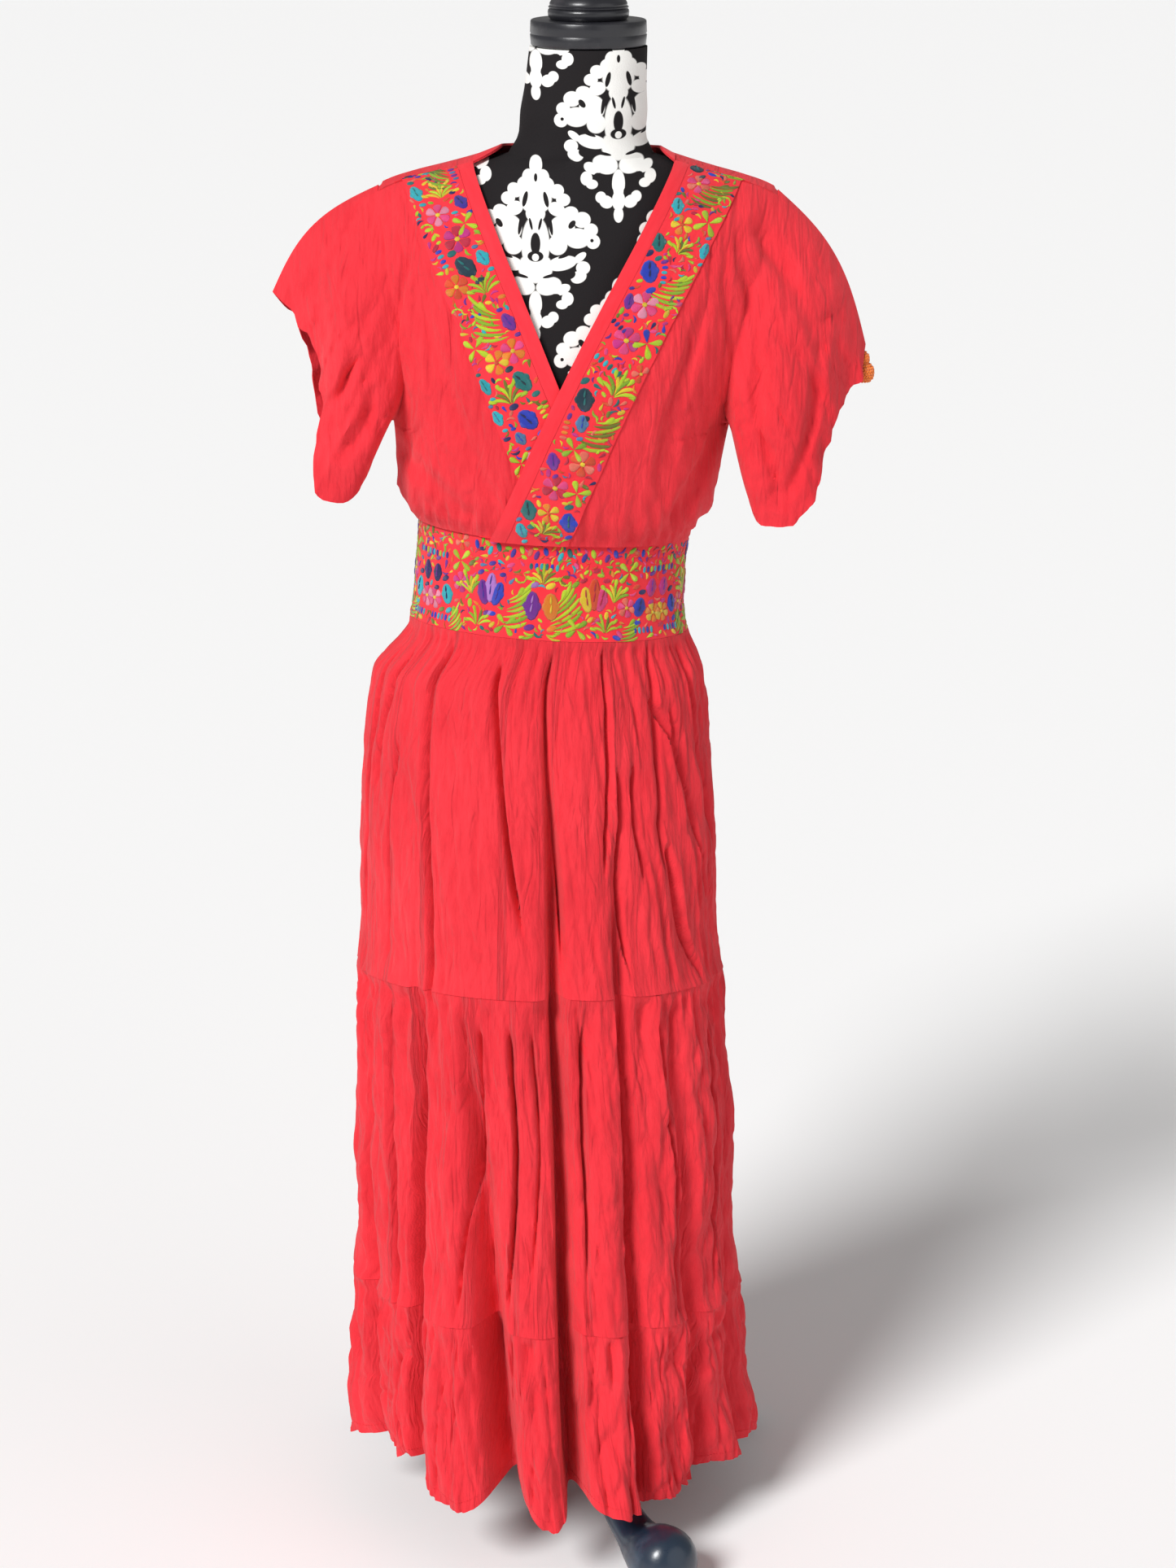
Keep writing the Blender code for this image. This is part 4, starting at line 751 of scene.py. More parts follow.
def front_grid(side):
    """(points, normals) of one front, rows from the shoulder seam down to the waistband."""
    tops = armhole_height(side, ALONG[1:])
    wide = float(bodice.half_width(ARMPIT_Z))
    low = waist_top(side * wide, 0) + SEAM
    heights = np.concatenate([tops, ARMPIT_Z + (low - ARMPIT_Z) * spaced(SIDE_ROWS + 1)[1:]])
    last = len(heights) - 1
    edge = NECKLINE[side][0][0]
    waist_edge = waist_top(float(neck_curve[side](1.013)), 1) + SEAM
    first = BINDING_WIDTH / EDGE_SLANT
    second = (BINDING_WIDTH + BAND_WIDTH) / EDGE_SLANT
    across = spaced(BINDING_STEPS + 1)[:-1] * first
    across = np.concatenate([across, mix(first, second, spaced(BAND_STEPS + 1))])
    fill = spaced(FILL_STEPS + 1)[1:]
    xs, zs = [], []
    for j, end_z in enumerate(heights):
        end_x = side * float((armhole_curve if j < len(tops) - 1 else bodice.half_width)(end_z))
        edge_z = mix(edge, waist_edge, (j / last) ** 0.97)
        edge_x = float(neck_curve[side](edge_z))
        room = side * end_x - 0.002 * np.arange(len(across), 0, -1) * 0.4
        x = side * np.minimum(side * edge_x + across, room)
        z = np.full(len(across), edge_z)
        turn = math.asin(np.clip(x[-1] / bodice.half_width(edge_z), -1, 1))
        turn_end = math.asin(np.clip(end_x / bodice.half_width(end_z), -1, 1))
        fz = mix(edge_z, end_z, np.where(fill < 1, ramp(fill, -0.15, 1.0), 1.0))
        angle = mix(turn, turn_end, fill)
        if j == last:
            fz = waist_top(np.sin(angle) * bodice.half_width(fz), np.cos(angle)) + SEAM
            flat = np.sqrt(np.clip(1 - (x / bodice.half_width(z)) ** 2, 0, 1))
            z = waist_top(x, flat) + SEAM
        fx = np.sin(angle) * bodice.half_width(fz)
        fx[-1] = end_x
        xs.append(np.concatenate([x, fx]))
        zs.append(np.concatenate([z, fz]))
    x, z = np.array(xs), np.array(zs)
    top = bodice.ridge(x) - FRONT_SEAM_DROP
    z[0] = top[0]
    z = np.minimum(z, top)
    p, n = bodice.place(x, z)
    above = z - waist_top(x, 1)
    shore = ramp(above, 0, 0.02)
    blouse = 0.0050 * ramp(above, 0, 0.022) * (1 - ramp(above, 0.03, 0.085)) * ramp(side * x, 0.03, 0.12)
    puckers = gathered(x, above, 0.0024, 420, (3, 60), 0.06) * ramp(side * x, -0.02, 0.05)
    inside = ramp(np.abs(z - top), 0.0, 0.02) * shore
    folded = crumple(x * 60 + 9, z * 12 + 9, 33 + side) * (0.4 + 0.6 * ramp(side * x, 0.05, 0.13))
    column, columns = np.arange(x.shape[1]), x.shape[1]
    relief = (crinkle(x, z, 2 + side) + 0.0022 * folded) * inside * ramp(column / 14, 0.2, 1.4)
    push = crease_depth(x, z, FRONT_CREASES[side]) * shore + relief - blouse + puckers
    shared = (np.arange(len(heights)) >= len(tops) - 2)[:, None] * ramp(column, columns - 9, columns - 2)
    push = push * (1 - shared)
    p = p - n * (push - overlap_lift(side, x, z))[..., None]
    p[:, -1, 1] = np.minimum(p[:, -1, 1], -SEAM / 2)
    return p, n, len(tops)


WORDS = {-1: "right", 1: "left"}
front = {side: front_grid(side) for side in WORDS}
print("front grids:", {side: front[side][0].shape for side in front})


# %% [markdown]
# The grids become cloth here. A front's grid and its sleeve's grid share the points of the
# armhole line, so the cloth runs through without a seam, as it is cut.


# %% Fronts with their sleeves
def pattern_uv(points):
    """A flat pattern in metres for cloth seen from the front or the back."""
    return points[:, [0, 2]]


def join_sleeve(points, quads, ends, side, half, skipped):
    """Adds a sleeve to a sheet whose points on the armhole line are ends, from the row of
    ALONG after those skipped."""
    grid = sleeve_points(side, half, ALONG, OUT)
    rows, columns = grid.shape[:2]
    shift = np.zeros((rows, 3))
    shift[skipped : skipped + len(ends)] = points[ends] - grid[skipped : skipped + len(ends), 0]
    grid = grid + shift[:, None, :] * (1 - ramp(OUT, 0, 0.35))[None, :, None]
    ids = np.empty((rows, columns), int)
    new = []
    for j in range(rows):
        for i in range(columns):
            if i == 0 and skipped <= j < skipped + len(ends):
                ids[j, i] = ends[j - skipped]
            else:
                ids[j, i] = len(points) + len(new)
                new.append(grid[j, i])
    facing = side if half == "front" else -side
    quads = np.concatenate([quads, quads_of(ids, flip=facing < 0)])
    return np.concatenate([points, np.array(new)]), quads, ids


def bodice_cloth(name, points, quads, level):
    """The wall of a front or the back, with level seams between front and back."""
    normals = sheet_normals(points, quads)
    level = np.concatenate(level)
    normals[level] = unit(normals[level] * (1, 0, 1), 1e-9)
    made = cloth_wall("cloth_" + name, points, quads, red_gauze, pattern_uv(points), normals)
    finish_piece(made, "red_gauze", name)


for side, word in WORDS.items():
    p, n, count = front[side]
    ids = grid_ids(*p.shape[:2])
    quads = quads_of(ids, flip=side < 0)
    points, quads, arm = join_sleeve(p.reshape(-1, 3), quads, ids[:count, -1], side, "front", 1)
    bodice_cloth("front_" + word, points, quads, [arm[0], arm[-1], ids[count - 1 :, -1]])

# %% [markdown]
# ## Back
# The back is one piece below a yoke, with both back sleeve halves cut on. It hangs in a few
# long folds down to the waistband, like the front.


# %% Back with both sleeve halves
HALF_COLUMNS = 44


def make_back():
    used = armhole_height(1, ALONG) < BACK_SEAM_Z - 0.003
    along = ALONG[used]
    skipped = int(np.argmax(used))
    wide = float(bodice.half_width(ARMPIT_Z))
    count = 1 + len(along) + SIDE_ROWS
    column = np.arange(-HALF_COLUMNS, HALF_COLUMNS + 1)
    u = np.abs(column) / HALF_COLUMNS
    sign = np.where(column < 0, -1, 1)
    xs, zs = [], []
    for j in range(count):
        row_x, row_z = np.empty(len(u)), np.empty(len(u))
        for side in (-1, 1):
            if j == 0:
                z_end = BACK_SEAM_Z - SEAM
                x_end = side * float(armhole_curve(z_end))
            elif j <= len(along):
                z_end = float(armhole_height(side, along[j - 1]))
                x_end = side * (float(armhole_curve(z_end)) if j < len(along) else wide)
            else:
                low = waist_top(side * wide, 0) + SEAM
                z_end = mix(ARMPIT_Z, low, (j - len(along)) / SIDE_ROWS)
                x_end = side * float(bodice.half_width(z_end))
            mine = sign == side
            v = u[mine]
            middle = mix(BACK_SEAM_Z - SEAM, waist_top(0, -1) + SEAM, j / (count - 1))
            z = mix(middle, z_end, np.where(v < 1, ramp(v, -0.2, 1.0), 1.0))
            turn = math.asin(min(1.0, abs(x_end) / bodice.half_width(z_end)))
            if j == count - 1:
                across = side * np.sin(turn * v) * bodice.half_width(z)
                z = np.where(v < 1, waist_top(across, -np.cos(turn * v)) + SEAM, z)
            x = side * np.sin(turn * v) * bodice.half_width(z)
            x[v == 1] = x_end
            row_x[mine], row_z[mine] = x, z
        xs.append(row_x)
        zs.append(row_z)
    x, z = np.array(xs), np.array(zs)
    p, n = bodice.place(x, z, True)
    above = z - waist_top(x, -1)
    shore = ramp(above, 0, 0.02) * (1 - ramp(z, BACK_SEAM_Z - 0.02, BACK_SEAM_Z))
    push = (crease_depth(x, z, BACK_CREASES) + crinkle(x, z, 21)) * shore
    push = push + gathered(x, above, 0.0016, 500, (3, 50), 0.06)
    push = push + gathered(x, BACK_SEAM_Z - z, 0.0016, 430, (2, 37), 0.05)
    edge = ramp(u, 0.80, 0.97)[None, :] * (np.arange(count) >= len(along) - 1)[:, None]
    p = p - n * (push * (1 - edge))[..., None]
    for column in (0, -1):
        p[:, column, 1] = np.maximum(p[:, column, 1], SEAM / 2)
    ids = grid_ids(*x.shape)
    points = p.reshape(-1, 3)
    quads = quads_of(ids, flip=True)
    level = []
    for side in WORDS:
        ends = ids[:, 0 if side < 0 else -1]
        points, quads, arm = join_sleeve(points, quads, ends[1 : 1 + len(along)], side, "back", skipped)
        level += [arm[0], arm[-1], ends[len(along) :]]
    bodice_cloth("back", points, quads, level)


make_back()

# %% [markdown]
# ## Yoke and neckline binding
# The yoke lies over both shoulders and carries the gathered back. A narrow strip of the same
# cloth, folded over the raw edge, binds the whole neckline. Both follow the panel below them,
# so they are made from the panel's own points moved out by one cloth thickness.

# %% Yoke and binding
NECK_SIDE = 0.073
YOKE_END = 0.1866
YOKE_UNDER = 0.0016
BACK_NECK_DROP = 0.033


def yoke_grid():
    corners = [abs(NECKLINE[side][0][1]) for side in (-1, 1)]
    across = np.concatenate([
        np.linspace(-YOKE_END, -corners[0], 26)[:-1], np.linspace(-corners[0], -NECK_SIDE, 6)[:-1],
        NECK_SIDE * np.sin(np.linspace(-np.pi / 2, np.pi / 2, 41)),
        np.linspace(NECK_SIDE, corners[1], 6)[1:], np.linspace(corners[1], YOKE_END, 28)[1:],
    ])
    inner = (across >= -corners[0] - 1e-6) & (across <= corners[1] + 1e-6)
    corner = np.where(across < 0, corners[0], corners[1])
    share = np.clip((np.abs(across) - NECK_SIDE) / (corner - NECK_SIDE), 0, 1)
    near_neck = math.sqrt(BACK_NECK_DROP) * np.sqrt(np.clip(1 - (across / NECK_SIDE) ** 2, 0, 1))
    at_front = -math.sqrt(FRONT_SEAM_DROP - SEAM) * np.sqrt(share)
    first = np.where(np.abs(across) < NECK_SIDE, near_neck, at_front)
    last = np.sqrt(bodice.ridge(across) - BACK_SEAM_Z)
    trim = np.minimum(first + BINDING_WIDTH / 0.30, mix(first, last, 0.4))
    steps = [mix(first, trim, t) for t in spaced(4)[:-1]] + [mix(trim, last, t) for t in spaced(28)]
    steps = np.stack(steps)
    z = bodice.ridge(across)[None, :] - steps**2
    x = np.broadcast_to(across, z.shape)
    room = armhole_curve(z) + YOKE_UNDER
    drawn = mix(np.abs(x), np.abs(x) * room / SHOULDER_END, ramp(np.abs(x), 0.105, SHOULDER_END))
    drawn = np.where(np.abs(x) > 0.182, np.minimum(np.minimum(drawn, room), np.abs(x)), drawn)
    pf, nf = bodice.place(x, z, False)
    pb, nb = bodice.place(np.sign(x) * drawn, z, True)
    behind = (steps > 0)[..., None]
    p, n = np.where(behind, pb, pf), np.where(behind, nb, nf)
    under = YOKE_UNDER * ramp(np.abs(across), 0.1800, 0.1850)[None, :, None]
    return p - n * under, n, inner


yoke_p, yoke_n, yoke_inner = yoke_grid()
ids = grid_ids(*yoke_p.shape[:2])
flat = yoke_p.reshape(-1, 3)
uv = np.stack([flat[:, 0], flat[:, 1] + flat[:, 2]], -1)
piece = cloth_wall("cloth_yoke", flat, quads_of(ids, flip=True), red_gauze, uv, yoke_n.reshape(-1, 3))
finish_piece(piece, "red_gauze", "yoke")


def trim_on(name, p, n, side, puff, slot, node_name):
    """A strip that lies on a panel, a little fuller in the middle than at its edges."""
    rows, columns = p.shape[:2]
    full = puff * np.sin(np.pi * spaced(columns))[None, :, None]
    points = (p + n * (SEAM + TRIM + full)).reshape(-1, 3)
    down, wide = run_along(p[:, 0]), run_along(p[rows // 2])
    uv = np.stack(np.broadcast_arrays(wide[None, :], down[:, None]), -1).reshape(-1, 2)
    quads = quads_of(grid_ids(rows, columns), flip=side < 0)
    finish_piece(cloth_wall(name, points, quads, red_trim, uv, n.reshape(-1, 3), TRIM), slot, node_name)


strip = slice(0, BINDING_STEPS + 1)
for side, word in WORDS.items():
    p, n, _ = front[side]
    trim_on(f"neck_binding_{word}", p[:, strip], n[:, strip], side, 0.0006, "red_gauze", f"binding_{word}")
p, n = (grid[strip][:, yoke_inner].transpose(1, 0, 2) for grid in (yoke_p, yoke_n))
trim_on("neck_binding_back", p, n, 1, 0.0004, "red_gauze", "binding_back")

# %% [markdown]
# ## The two embroidered bands and the waistband
# A band of the same red cloth, five centimetres wide, runs beside the binding on each front,
# and a wider one goes all round the waist. They are cut and embroidered flat before they are
# sewn on. The cloth of each band comes first. Its stitches are laid out flat afterwards, in
# millimetres, and then carried onto the band's own surface.


# %% Band cloth
def band_surface(side):
    """Points and normals of a band, and the distances that its rows and columns stand for."""
    p, n, _ = front[side]
    columns = slice(BINDING_STEPS, BINDING_STEPS + BAND_STEPS + 1)
    p, n = p[:, columns], n[:, columns]
    wide = np.arange(BAND_STEPS + 1) / BAND_STEPS * BAND_WIDTH
    return p, n, run_along(p[:, 0]), wide


for side, word in WORDS.items():
    p, n, down, wide = band_surface(side)
    inset = p.copy()
    inset[:, 0] = mix(p[:, 0], p[:, 1], 0.06)
    trim_on(f"band_cloth_{word}", inset, n, side, 0.0, "embroidered_band", f"band_{word}")
    print("band", word, "length", round(float(down[-1]), 3))


def skirt_section(z):
    return [table_curve(SKIRT, k)(z) for k in (1, 2, 3, 4)]


# height, centre, half width, front depth, back depth
SKIRT = (
    (0.940, -0.022, 0.1295, 0.1020, 0.0960), (0.915, -0.023, 0.1330, 0.1040, 0.0990),
    (0.870, -0.031, 0.1590, 0.1150, 0.1160), (0.800, -0.033, 0.1670, 0.1260, 0.1310),
    (0.700, -0.032, 0.1735, 0.1360, 0.1440), (0.620, -0.032, 0.1750, 0.1430, 0.1515),
    (0.570, -0.032, 0.1800, 0.1480, 0.1570), (0.437, -0.029, 0.1880, 0.1660, 0.1740),
    (0.296, -0.028, 0.1930, 0.1870, 0.1910), (0.153, -0.026, 0.2020, 0.2120, 0.2160),
    (0.060, -0.019, 0.2050, 0.2280, 0.2340),
)


def oval_place(section, bearing, inward):
    centre, half, ahead, behind = section
    turn = np.radians(bearing)
    x, y = half * np.sin(turn), -np.cos(turn) * np.where(np.cos(turn) > 0, ahead, behind)
    scale = 1 - inward / np.hypot(x, y)
    return centre + x * scale, y * scale


def waist_grid(count=300, rows=16):
    bearing = np.arange(count) * 360 / count - 180
    forward = np.cos(np.radians(bearing))[None, :]
    across = 0.128 * np.sin(np.radians(bearing))[None, :]
    t = spaced(rows + 1)[:, None]
    z = mix(waist_top(across, forward), waist_bottom(across, forward), t)
    low = skirt_section(z)
    high = (axis_x(z), 0.1285, 0.1015, 0.0950)
    section = [mix(a, b, t) for a, b in zip(high, low)]
    section[0] = np.where(t == 0, axis_x(z), section[0])
    tuck = 0.0015 * np.sin(np.pi * t)
    soft = 0.0009 * ripple(bearing[None, :] * 0.11 + 3, t * 2.2 + 0 * z, 31) * np.sin(np.pi * t)
    x, y = oval_place(section, bearing[None, :], tuck + soft)
    p = np.stack([x, y, z], -1)
    along = np.roll(p, -1, axis=1) - np.roll(p, 1, axis=1)
    return p, unit(np.cross(np.gradient(p, axis=0), along)), bearing


def ring_cloth(name, points, ids, finish, uv, normals, thickness=CLOTH):
    """A closed band of cloth, with its upper and lower edges cut level."""
    for row in (0, -1):
        normals[ids[row], 2] = 0
    return cloth_wall(name, points, quads_of(ids, closed=True), finish, uv, unit(normals), thickness)


WAIST_WALL = 0.0016
waist_p, waist_n, waist_bearing = waist_grid()
around = run_along(waist_p[8])
around -= np.interp(0, waist_bearing, around)
tall = float(np.linalg.norm(waist_p[0, 150] - waist_p[-1, 150]))
uv = np.stack(np.broadcast_arrays(around[None, :], spaced(17)[:, None] * tall), -1).reshape(-1, 2)
ids = grid_ids(*waist_p.shape[:2])
points, normals = waist_p.reshape(-1, 3), waist_n.reshape(-1, 3).copy()
piece = ring_cloth("waistband_cloth", points, ids, red_trim, uv, normals, WAIST_WALL)
finish_piece(piece, "embroidered_band", "waistband")
print("waistband: round", round(float(around[-1] - around[0]), 3), "tall", round(tall, 3))

# %% [markdown]
# ## Skirt
# The skirt is three bands of the same gauze, each gathered into the one above by small
# tucks. It hangs in long folds that start at uneven heights, stay narrow near the waist and
# open towards the hem. Next to them run thin sharp creases where the cloth was pressed
# together. Folds and creases stand in tables by bearing, so that sides and back get their own
# ones too. The lowest band is the most crumpled.

# %% Folds of the skirt
# start height, bearing there and at the hem, depth and half width at the hem
HANGING_FOLDS = (
    (0.640, -41.0, -43.0, 0.044, 6.0), (0.560, -22.0, -12.0, 0.080, 9.0),
    (0.850, 5.0, 8.5, 0.072, 6.0), (0.750, 27.0, 31.0, 0.048, 6.0),
    (0.570, 47.0, 58.0, 0.036, 7.0), (0.690, 75.0, 79.0, 0.030, 7.0),
    (0.580, 98.0, 100.0, 0.044, 7.5), (0.720, 122.0, 123.0, 0.036, 7.0),
    (0.590, 147.0, 145.0, 0.058, 8.0), (0.800, 172.0, 169.0, 0.050, 6.5),
    (0.570, 197.0, 195.0, 0.064, 9.0), (0.700, 222.0, 221.0, 0.040, 7.0),
    (0.600, 247.0, 246.0, 0.048, 7.5), (0.740, 272.0, 270.0, 0.030, 6.5),
    (0.590, 291.0, 289.0, 0.034, 6.5),
)
# bearing, half width, start height, how far it stands out at the hem
HEM_SWELLS = (
    (-92.0, 15.0, 0.34, 0.010), (88.0, 16.0, 0.34, 0.010), (-60.0, 15.0, 0.46, -0.022), (-28.0, 14.0, 0.40, 0.010), (-1.0, 9.0, 0.40, 0.016),
    (45.0, 14.0, 0.40, -0.020), (70.0, 14.0, 0.40, -0.012), (111.0, 14.0, 0.40, 0.008),
    (134.0, 14.0, 0.40, -0.014), (158.0, 12.0, 0.40, 0.012), (181.0, 14.0, 0.44, 0.010),
    (208.0, 14.0, 0.40, -0.012), (234.0, 14.0, 0.40, 0.010), (258.0, 14.0, 0.40, -0.010),
)
# thin creases: top and low height, bearing at each, depth, side of the steep flank
CREASE_LINES = (
    (0.915, 0.560, -40.0, -37.0, 0.0050, 1), (0.905, 0.640, -18.0, -3.5, 0.0055, -1),
    (0.910, 0.600, 3.5, 8.0, 0.0060, -1), (0.912, 0.700, 24.5, 24.0, 0.0060, -1),
    (0.800, 0.600, 27.0, 31.0, 0.0050, 1), (0.910, 0.700, 44.5, 46.5, 0.0060, -1),
    (0.720, 0.580, 46.0, 62.0, 0.0055, -1), (0.860, 0.740, 44.0, 64.0, 0.0045, 1),
    (0.850, 0.640, 52.0, 72.0, 0.0040, 1), (0.800, 0.690, 34.0, 35.5, 0.0045, 1),
    (0.900, 0.760, -62.0, -66.0, 0.0045, 1), (0.820, 0.600, -54.0, -57.0, 0.0030, -1),
    (0.905, 0.700, 66.0, 80.0, 0.0050, -1), (0.900, 0.640, 92.0, 96.0, 0.0055, 1),
    (0.905, 0.720, 112.0, 109.0, 0.0050, -1), (0.900, 0.590, 133.0, 137.0, 0.0060, 1),
    (0.905, 0.680, 152.0, 150.0, 0.0050, -1), (0.905, 0.600, 171.0, 174.0, 0.0060, 1),
    (0.900, 0.690, 188.0, 192.0, 0.0050, -1), (0.905, 0.600, 209.0, 206.0, 0.0060, 1),
    (0.900, 0.700, 228.0, 232.0, 0.0050, -1), (0.905, 0.620, 247.0, 249.0, 0.0055, 1),
    (0.905, 0.740, 266.0, 262.0, 0.0045, -1), (0.900, 0.620, 284.0, 286.0, 0.0050, 1),
    (0.560, 0.240, -53.0, -52.0, 0.0040, 1), (0.562, 0.190, -42.0, -44.0, 0.0078, 1),
    (0.560, 0.260, -18.5, -25.0, 0.0046, -1), (0.558, 0.270, -7.5, -10.0, 0.0042, 1),
    (0.556, 0.300, -1.0, -2.0, 0.0030, -1), (0.556, 0.300, 16.0, 13.0, 0.0038, -1),
    (0.560, 0.260, 42.0, 46.0, 0.0050, 1), (0.540, 0.260, 68.0, 66.0, 0.0045, -1),
    (0.555, 0.320, 86.0, 90.0, 0.0040, 1), (0.550, 0.270, 108.0, 112.0, 0.0045, -1),
    (0.550, 0.340, 134.0, 131.0, 0.0040, 1), (0.555, 0.260, 158.0, 156.0, 0.0045, -1),
    (0.550, 0.300, 184.0, 182.0, 0.0040, 1), (0.555, 0.280, 209.0, 212.0, 0.0045, -1),
    (0.550, 0.330, 234.0, 236.0, 0.0040, 1), (0.555, 0.270, 258.0, 255.0, 0.0045, -1),
)
# bearing, half width, how far the hem rises there
HEM_RISES = (
    (-88, 26, -0.018), (-47, 9, 0.014), (-14, 10, 0.016), (1, 7, -0.014), (10, 6, 0.008),
    (60, 12, 0.006), (101, 8, 0.007), (146, 9, 0.009), (170, 7, -0.006), (196, 10, 0.009), (247, 9, 0.007),
)
SEAM_STEP = 0.0006
# how many tucks gather each band, their depth and the seed of their spacing
TUCKS = ((13, 0.0040, 3), (22, 0.0060, 7), (24, 0.0055, 11))


def seam_height(tier, bearing):
    turn = np.radians(bearing)
    forward, across = np.cos(turn), np.sin(turn)
    if tier == 0:
        return waist_bottom(0.128 * across, forward) - SEAM
    if tier == 1:
        return 0.570 + 0.012 * forward - 0.004 * across
    if tier == 2:
        return 0.240 + 0.016 * forward - 0.010 * across
    return 0.082 - 0.016 * np.sin(turn + 0.2) + 0.004 * np.sin(5 * turn + 1.0)


def skirt_inward(tier, bearing, z):
    pushed = np.zeros(np.broadcast(bearing, z).shape)
    for start, top, hem, depth, half in HANGING_FOLDS:
        t = np.clip((start - z) / (start - 0.06), 0, 1)
        away = turn_between(bearing, mix(top, hem, t) - 0.2 * half) / mix(0.62 * half, half, t)
        away = np.where(away < 0, away * 1.9, away * 0.82)
        pushed = pushed + depth * t**0.75 * (0.78 * raised(away) + 0.22 * raised(away / 2.6))
    for at, half, start, out in HEM_SWELLS:
        t = np.clip((start - z) / (start - 0.07), 0, 1)
        pushed = pushed - out * t**1.5 * raised(turn_between(bearing, at) / (2 * half))
    for own in range(tier + 1):
        count, depth, seed = TUCKS[own]
        below = seam_height(own, bearing) - z
        past = seam_height(own + 1, bearing) - z
        fade = ramp(below, 0.0, 0.022) * (1 - 0.65 * ramp(below, 0.05, 0.22)) * (1 - ramp(past, 0.0, 0.05))
        for k in range(count):
            size = depth * (0.75 + 0.4 * math.sin(7.0 * k + seed))
            at = 360 * (k + 0.22 * math.sin(12.9898 * (k + 1) * seed)) / count
            pushed = pushed + size * fade * raised(turn_between(bearing, at) / (0.36 * 360 / count))
    return pushed


def skirt_detail(tier, bearing, z):
    """Thin creases, puckers at both seams and the crinkle of the cloth."""
    pushed = np.zeros(np.broadcast(bearing, z).shape)
    for top, low, first, last, depth, steep in CREASE_LINES:
        t = (top - z) / (top - low)
        at = mix(first, last, t) + 1.2 * np.sin(5 * t + first)
        away = turn_between(bearing, at) * steep
        ends = ramp(t, -0.02, 0.12) * (1 - ramp(t, 0.80, 1.05))
        flank = np.where(away < 0, np.exp(away / 0.45), np.exp(-away / 2.6))
        slot = 1.15 + 0.007 * abs(last - first) / (top - low)
        pushed = pushed + depth * ends * (1.3 * flank + 2.3 * raised(away / slot))
    below = seam_height(tier, bearing) - z
    above = z - seam_height(tier + 1, bearing)
    pucker = np.sin(np.radians(bearing) * 66 + 4 * ripple(bearing * 0.07, below * 0, 40 + tier))
    size = (0.0012 if tier == 0 else 0.0030) * (0.55 + 0.45 * ripple(bearing * 0.05 + 9, below * 0, 50 + tier))
    pushed = pushed + size * pucker * ramp(below, 0.0, 0.010) * (1 - ramp(below, 0.012, 0.07))
    if tier < 2:
        pushed = pushed + 0.5 * size * pucker * ramp(above, 0, 0.006) * (1 - ramp(above, 0.006, 0.03))
    round_it = bearing * 0.0031
    rough = (0.0008, 0.0013, 0.0021)[tier]
    keep = ramp(below, 0.0, 0.012) * (ramp(above, 0.0, 0.012) if tier < 2 else 1.0)
    turned = round_it + 0.12 * z
    fine = ripple(turned * 130 + 40, z * 26 + 9, 61 + tier)
    fine = fine + 0.6 * ripple(turned * 240 + 40, z * 70 + 9, 65 + tier)
    broad = ripple(round_it * 38 + 40 + 6 * z, z * 13 + 9, 71 + tier)
    broad = broad + 0.7 * ripple(round_it * 75 + 40 - 9 * z, z * 30 + 9, 75 + tier)
    right = ramp(np.cos(np.radians(bearing - 62)), 0.55, 0.95) if tier == 0 else 0.0
    slanted = np.abs(ripple(round_it * 95 + 60 + 17 * z, z * 8 + round_it * 20 + 9, 83))
    folded = crumple(round_it * 44 + 30 + 3 * z, z * 7.5 + 9, 85 + tier)
    folded = folded + 0.7 * crumple(round_it * 80 + 30 - 5 * z, z * 17 + 9, 89 + tier)
    broken = (0.0016, 0.0034, 0.0056)[tier]
    pushed = pushed + keep * (rough * (fine + 2.0 * broad) + 0.0042 * right * slanted + broken * folded)
    if tier:
        pushed = pushed + SEAM_STEP * (1 - ramp(below, 0.0, 0.006))
    if tier < 2:
        pushed = pushed - SEAM_STEP * (1 - ramp(above, 0.0, 0.006))
    return pushed


def kept_clear(bearing, z, inward):
    """Stops folds just before the form that stands inside."""
    x, y = oval_place(skirt_section(z), bearing, 0 * inward)
    x = x - axis_x(z)
    wide = torso.half_width(z)
    deep = np.where(y < 0, torso.front(z), torso.back(z))
    reach = np.hypot(x / wide, y / deep)
    room = np.hypot(x, y) * (1 - 1 / np.maximum(reach, 1.001)) - 0.004
    room = room + (1 - ramp(z, 0.615, 0.655))
    soft = 0.6 * room
    spare = room - soft
    slowed = soft + spare * np.tanh((inward - soft) / np.maximum(spare, 1e-4))
    return np.where(inward > soft, slowed, inward)


